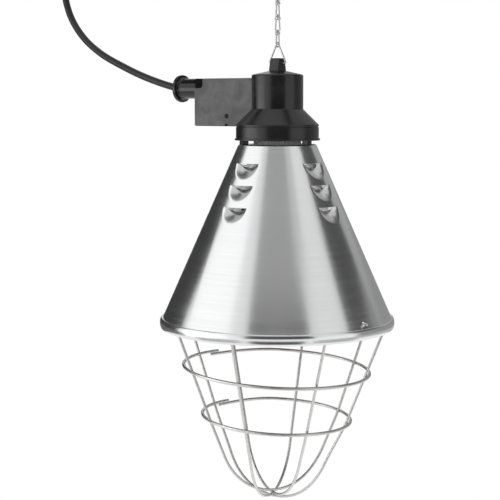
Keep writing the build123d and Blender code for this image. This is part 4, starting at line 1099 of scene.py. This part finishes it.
def seen_from_lamp(turn, rise, distance):
    """A place at a bearing from the camera's side (right is positive), a height angle and a distance."""
    turn, rise = np.radians(turn)[..., None], np.radians(rise)[..., None]
    flat = np.cos(turn) * toward_camera + np.sin(turn) * to_the_right
    return lamp_middle + distance * (np.cos(rise) * flat + np.sin(rise) * straight_up)


def board(name, turns, rises, distance, grey):
    """A curved board, a patch of a sphere round the lamp, that shows one grey in mirrors only."""
    turn, rise = np.meshgrid(np.linspace(*turns, 12), np.linspace(*rises, 8))
    made = mesh_piece(name, seen_from_lamp(turn, rise, distance), grid_faces(8, 12, close_columns=False))
    material, _, add = new_material(name)
    tint = add("Emission", "Emission", Color=(grey, grey, grey, 1), Strength=1.0)
    feed(material.node_tree.nodes["Material Output"], Surface=tint)
    made.data.materials.append(material)
    made.visible_camera = False
    made.visible_diffuse = False
    made.visible_shadow = False
    made.visible_transmission = False


board("grey_board_front", (-39, 25), (40.5, 58), 1.6, 0.39)
board("pale_board_above_front", (-39, 25), (58, 78), 1.6, 0.82)
board("pale_board_front", (25, 42), (36, 78), 1.6, 0.58)
board("dark_edge_front", (-32, 31), (32.5, 40.5), 1.6, 0.40)
board("dark_board_front", (-30, 34), (0, 32.5), 1.15, 0.06)
board("dark_board_low", (-25, 25), (-43, -16), 0.75, 0.08)
board("pale_board_low_left", (-80, -34), (-36, -14), 0.75, 0.50)
board("pale_board_low_right", (34, 80), (-36, -14), 0.75, 0.50)
board("grey_board_low_right", (80, 125), (-42, -10), 1.5, 0.48)
board("grey_board_low_behind", (125, 180), (-42, -12), 1.5, 0.52)
board("dark_board_low_left", (-165, -100), (-42, -8), 1.5, 0.13)
board("white_board_near_left", (-50, -31), (15, 49), 1.6, 0.87)
board("white_board_left", (-108, -50), (15, 47), 1.6, 1.15)
board("grey_board_high_left", (-130, -42), (47, 68), 1.6, 0.66)
board("glow_board_left", (-94, -60), (-16, 12), 1.45, 2.6)
board("glow_edge_left", (-102, -46), (-14, 14), 1.5, 1.2)
board("dark_board_upper_left", (-160, -86), (46.5, 57.5), 1.45, 0.08)
board("dark_board_left", (-165, -107), (-8, 30), 1.5, 0.045)
board("grey_board_upper_left", (-165, -107), (30, 47), 1.5, 0.45)
board("white_board_right", (35, 80), (10, 60), 1.7, 0.82)
board("dark_board_right", (77, 122), (15, 45), 1.5, 0.08)
board("grey_board_right", (79, 122), (-10, 15), 1.5, 0.30)
board("grey_board_behind", (122, 180), (8, 40), 1.5, 0.40)
board("pale_board_behind", (122, 180), (-12, 8), 1.5, 0.30)
board("pale_ceiling", (-180, 180), (68, 90), 1.7, 0.88)
board("grey_board_high_right", (42, 180), (60, 68), 1.7, 0.68)
board("grey_board_upper_right", (80, 180), (41, 60), 1.7, 0.62)


def soft_lamp(name, turn, rise, distance, size, power):
    """A square lamp at a bearing and height angle, turned to the middle of the heat lamp."""
    data = bpy.data.lights.new(name, "AREA")
    data.size = size
    data.energy = power
    lamp = placed(name, data)
    lamp.location = seen_from_lamp(turn, rise, distance)
    look_at(lamp, lamp_middle)
    lamp.visible_camera = False
    lamp.visible_glossy = False


soft_lamp("soft_left", -70.0, 35.0, 1.7, 1.1, 11)
soft_lamp("soft_right", 60.0, 40.0, 1.7, 1.1, 7)
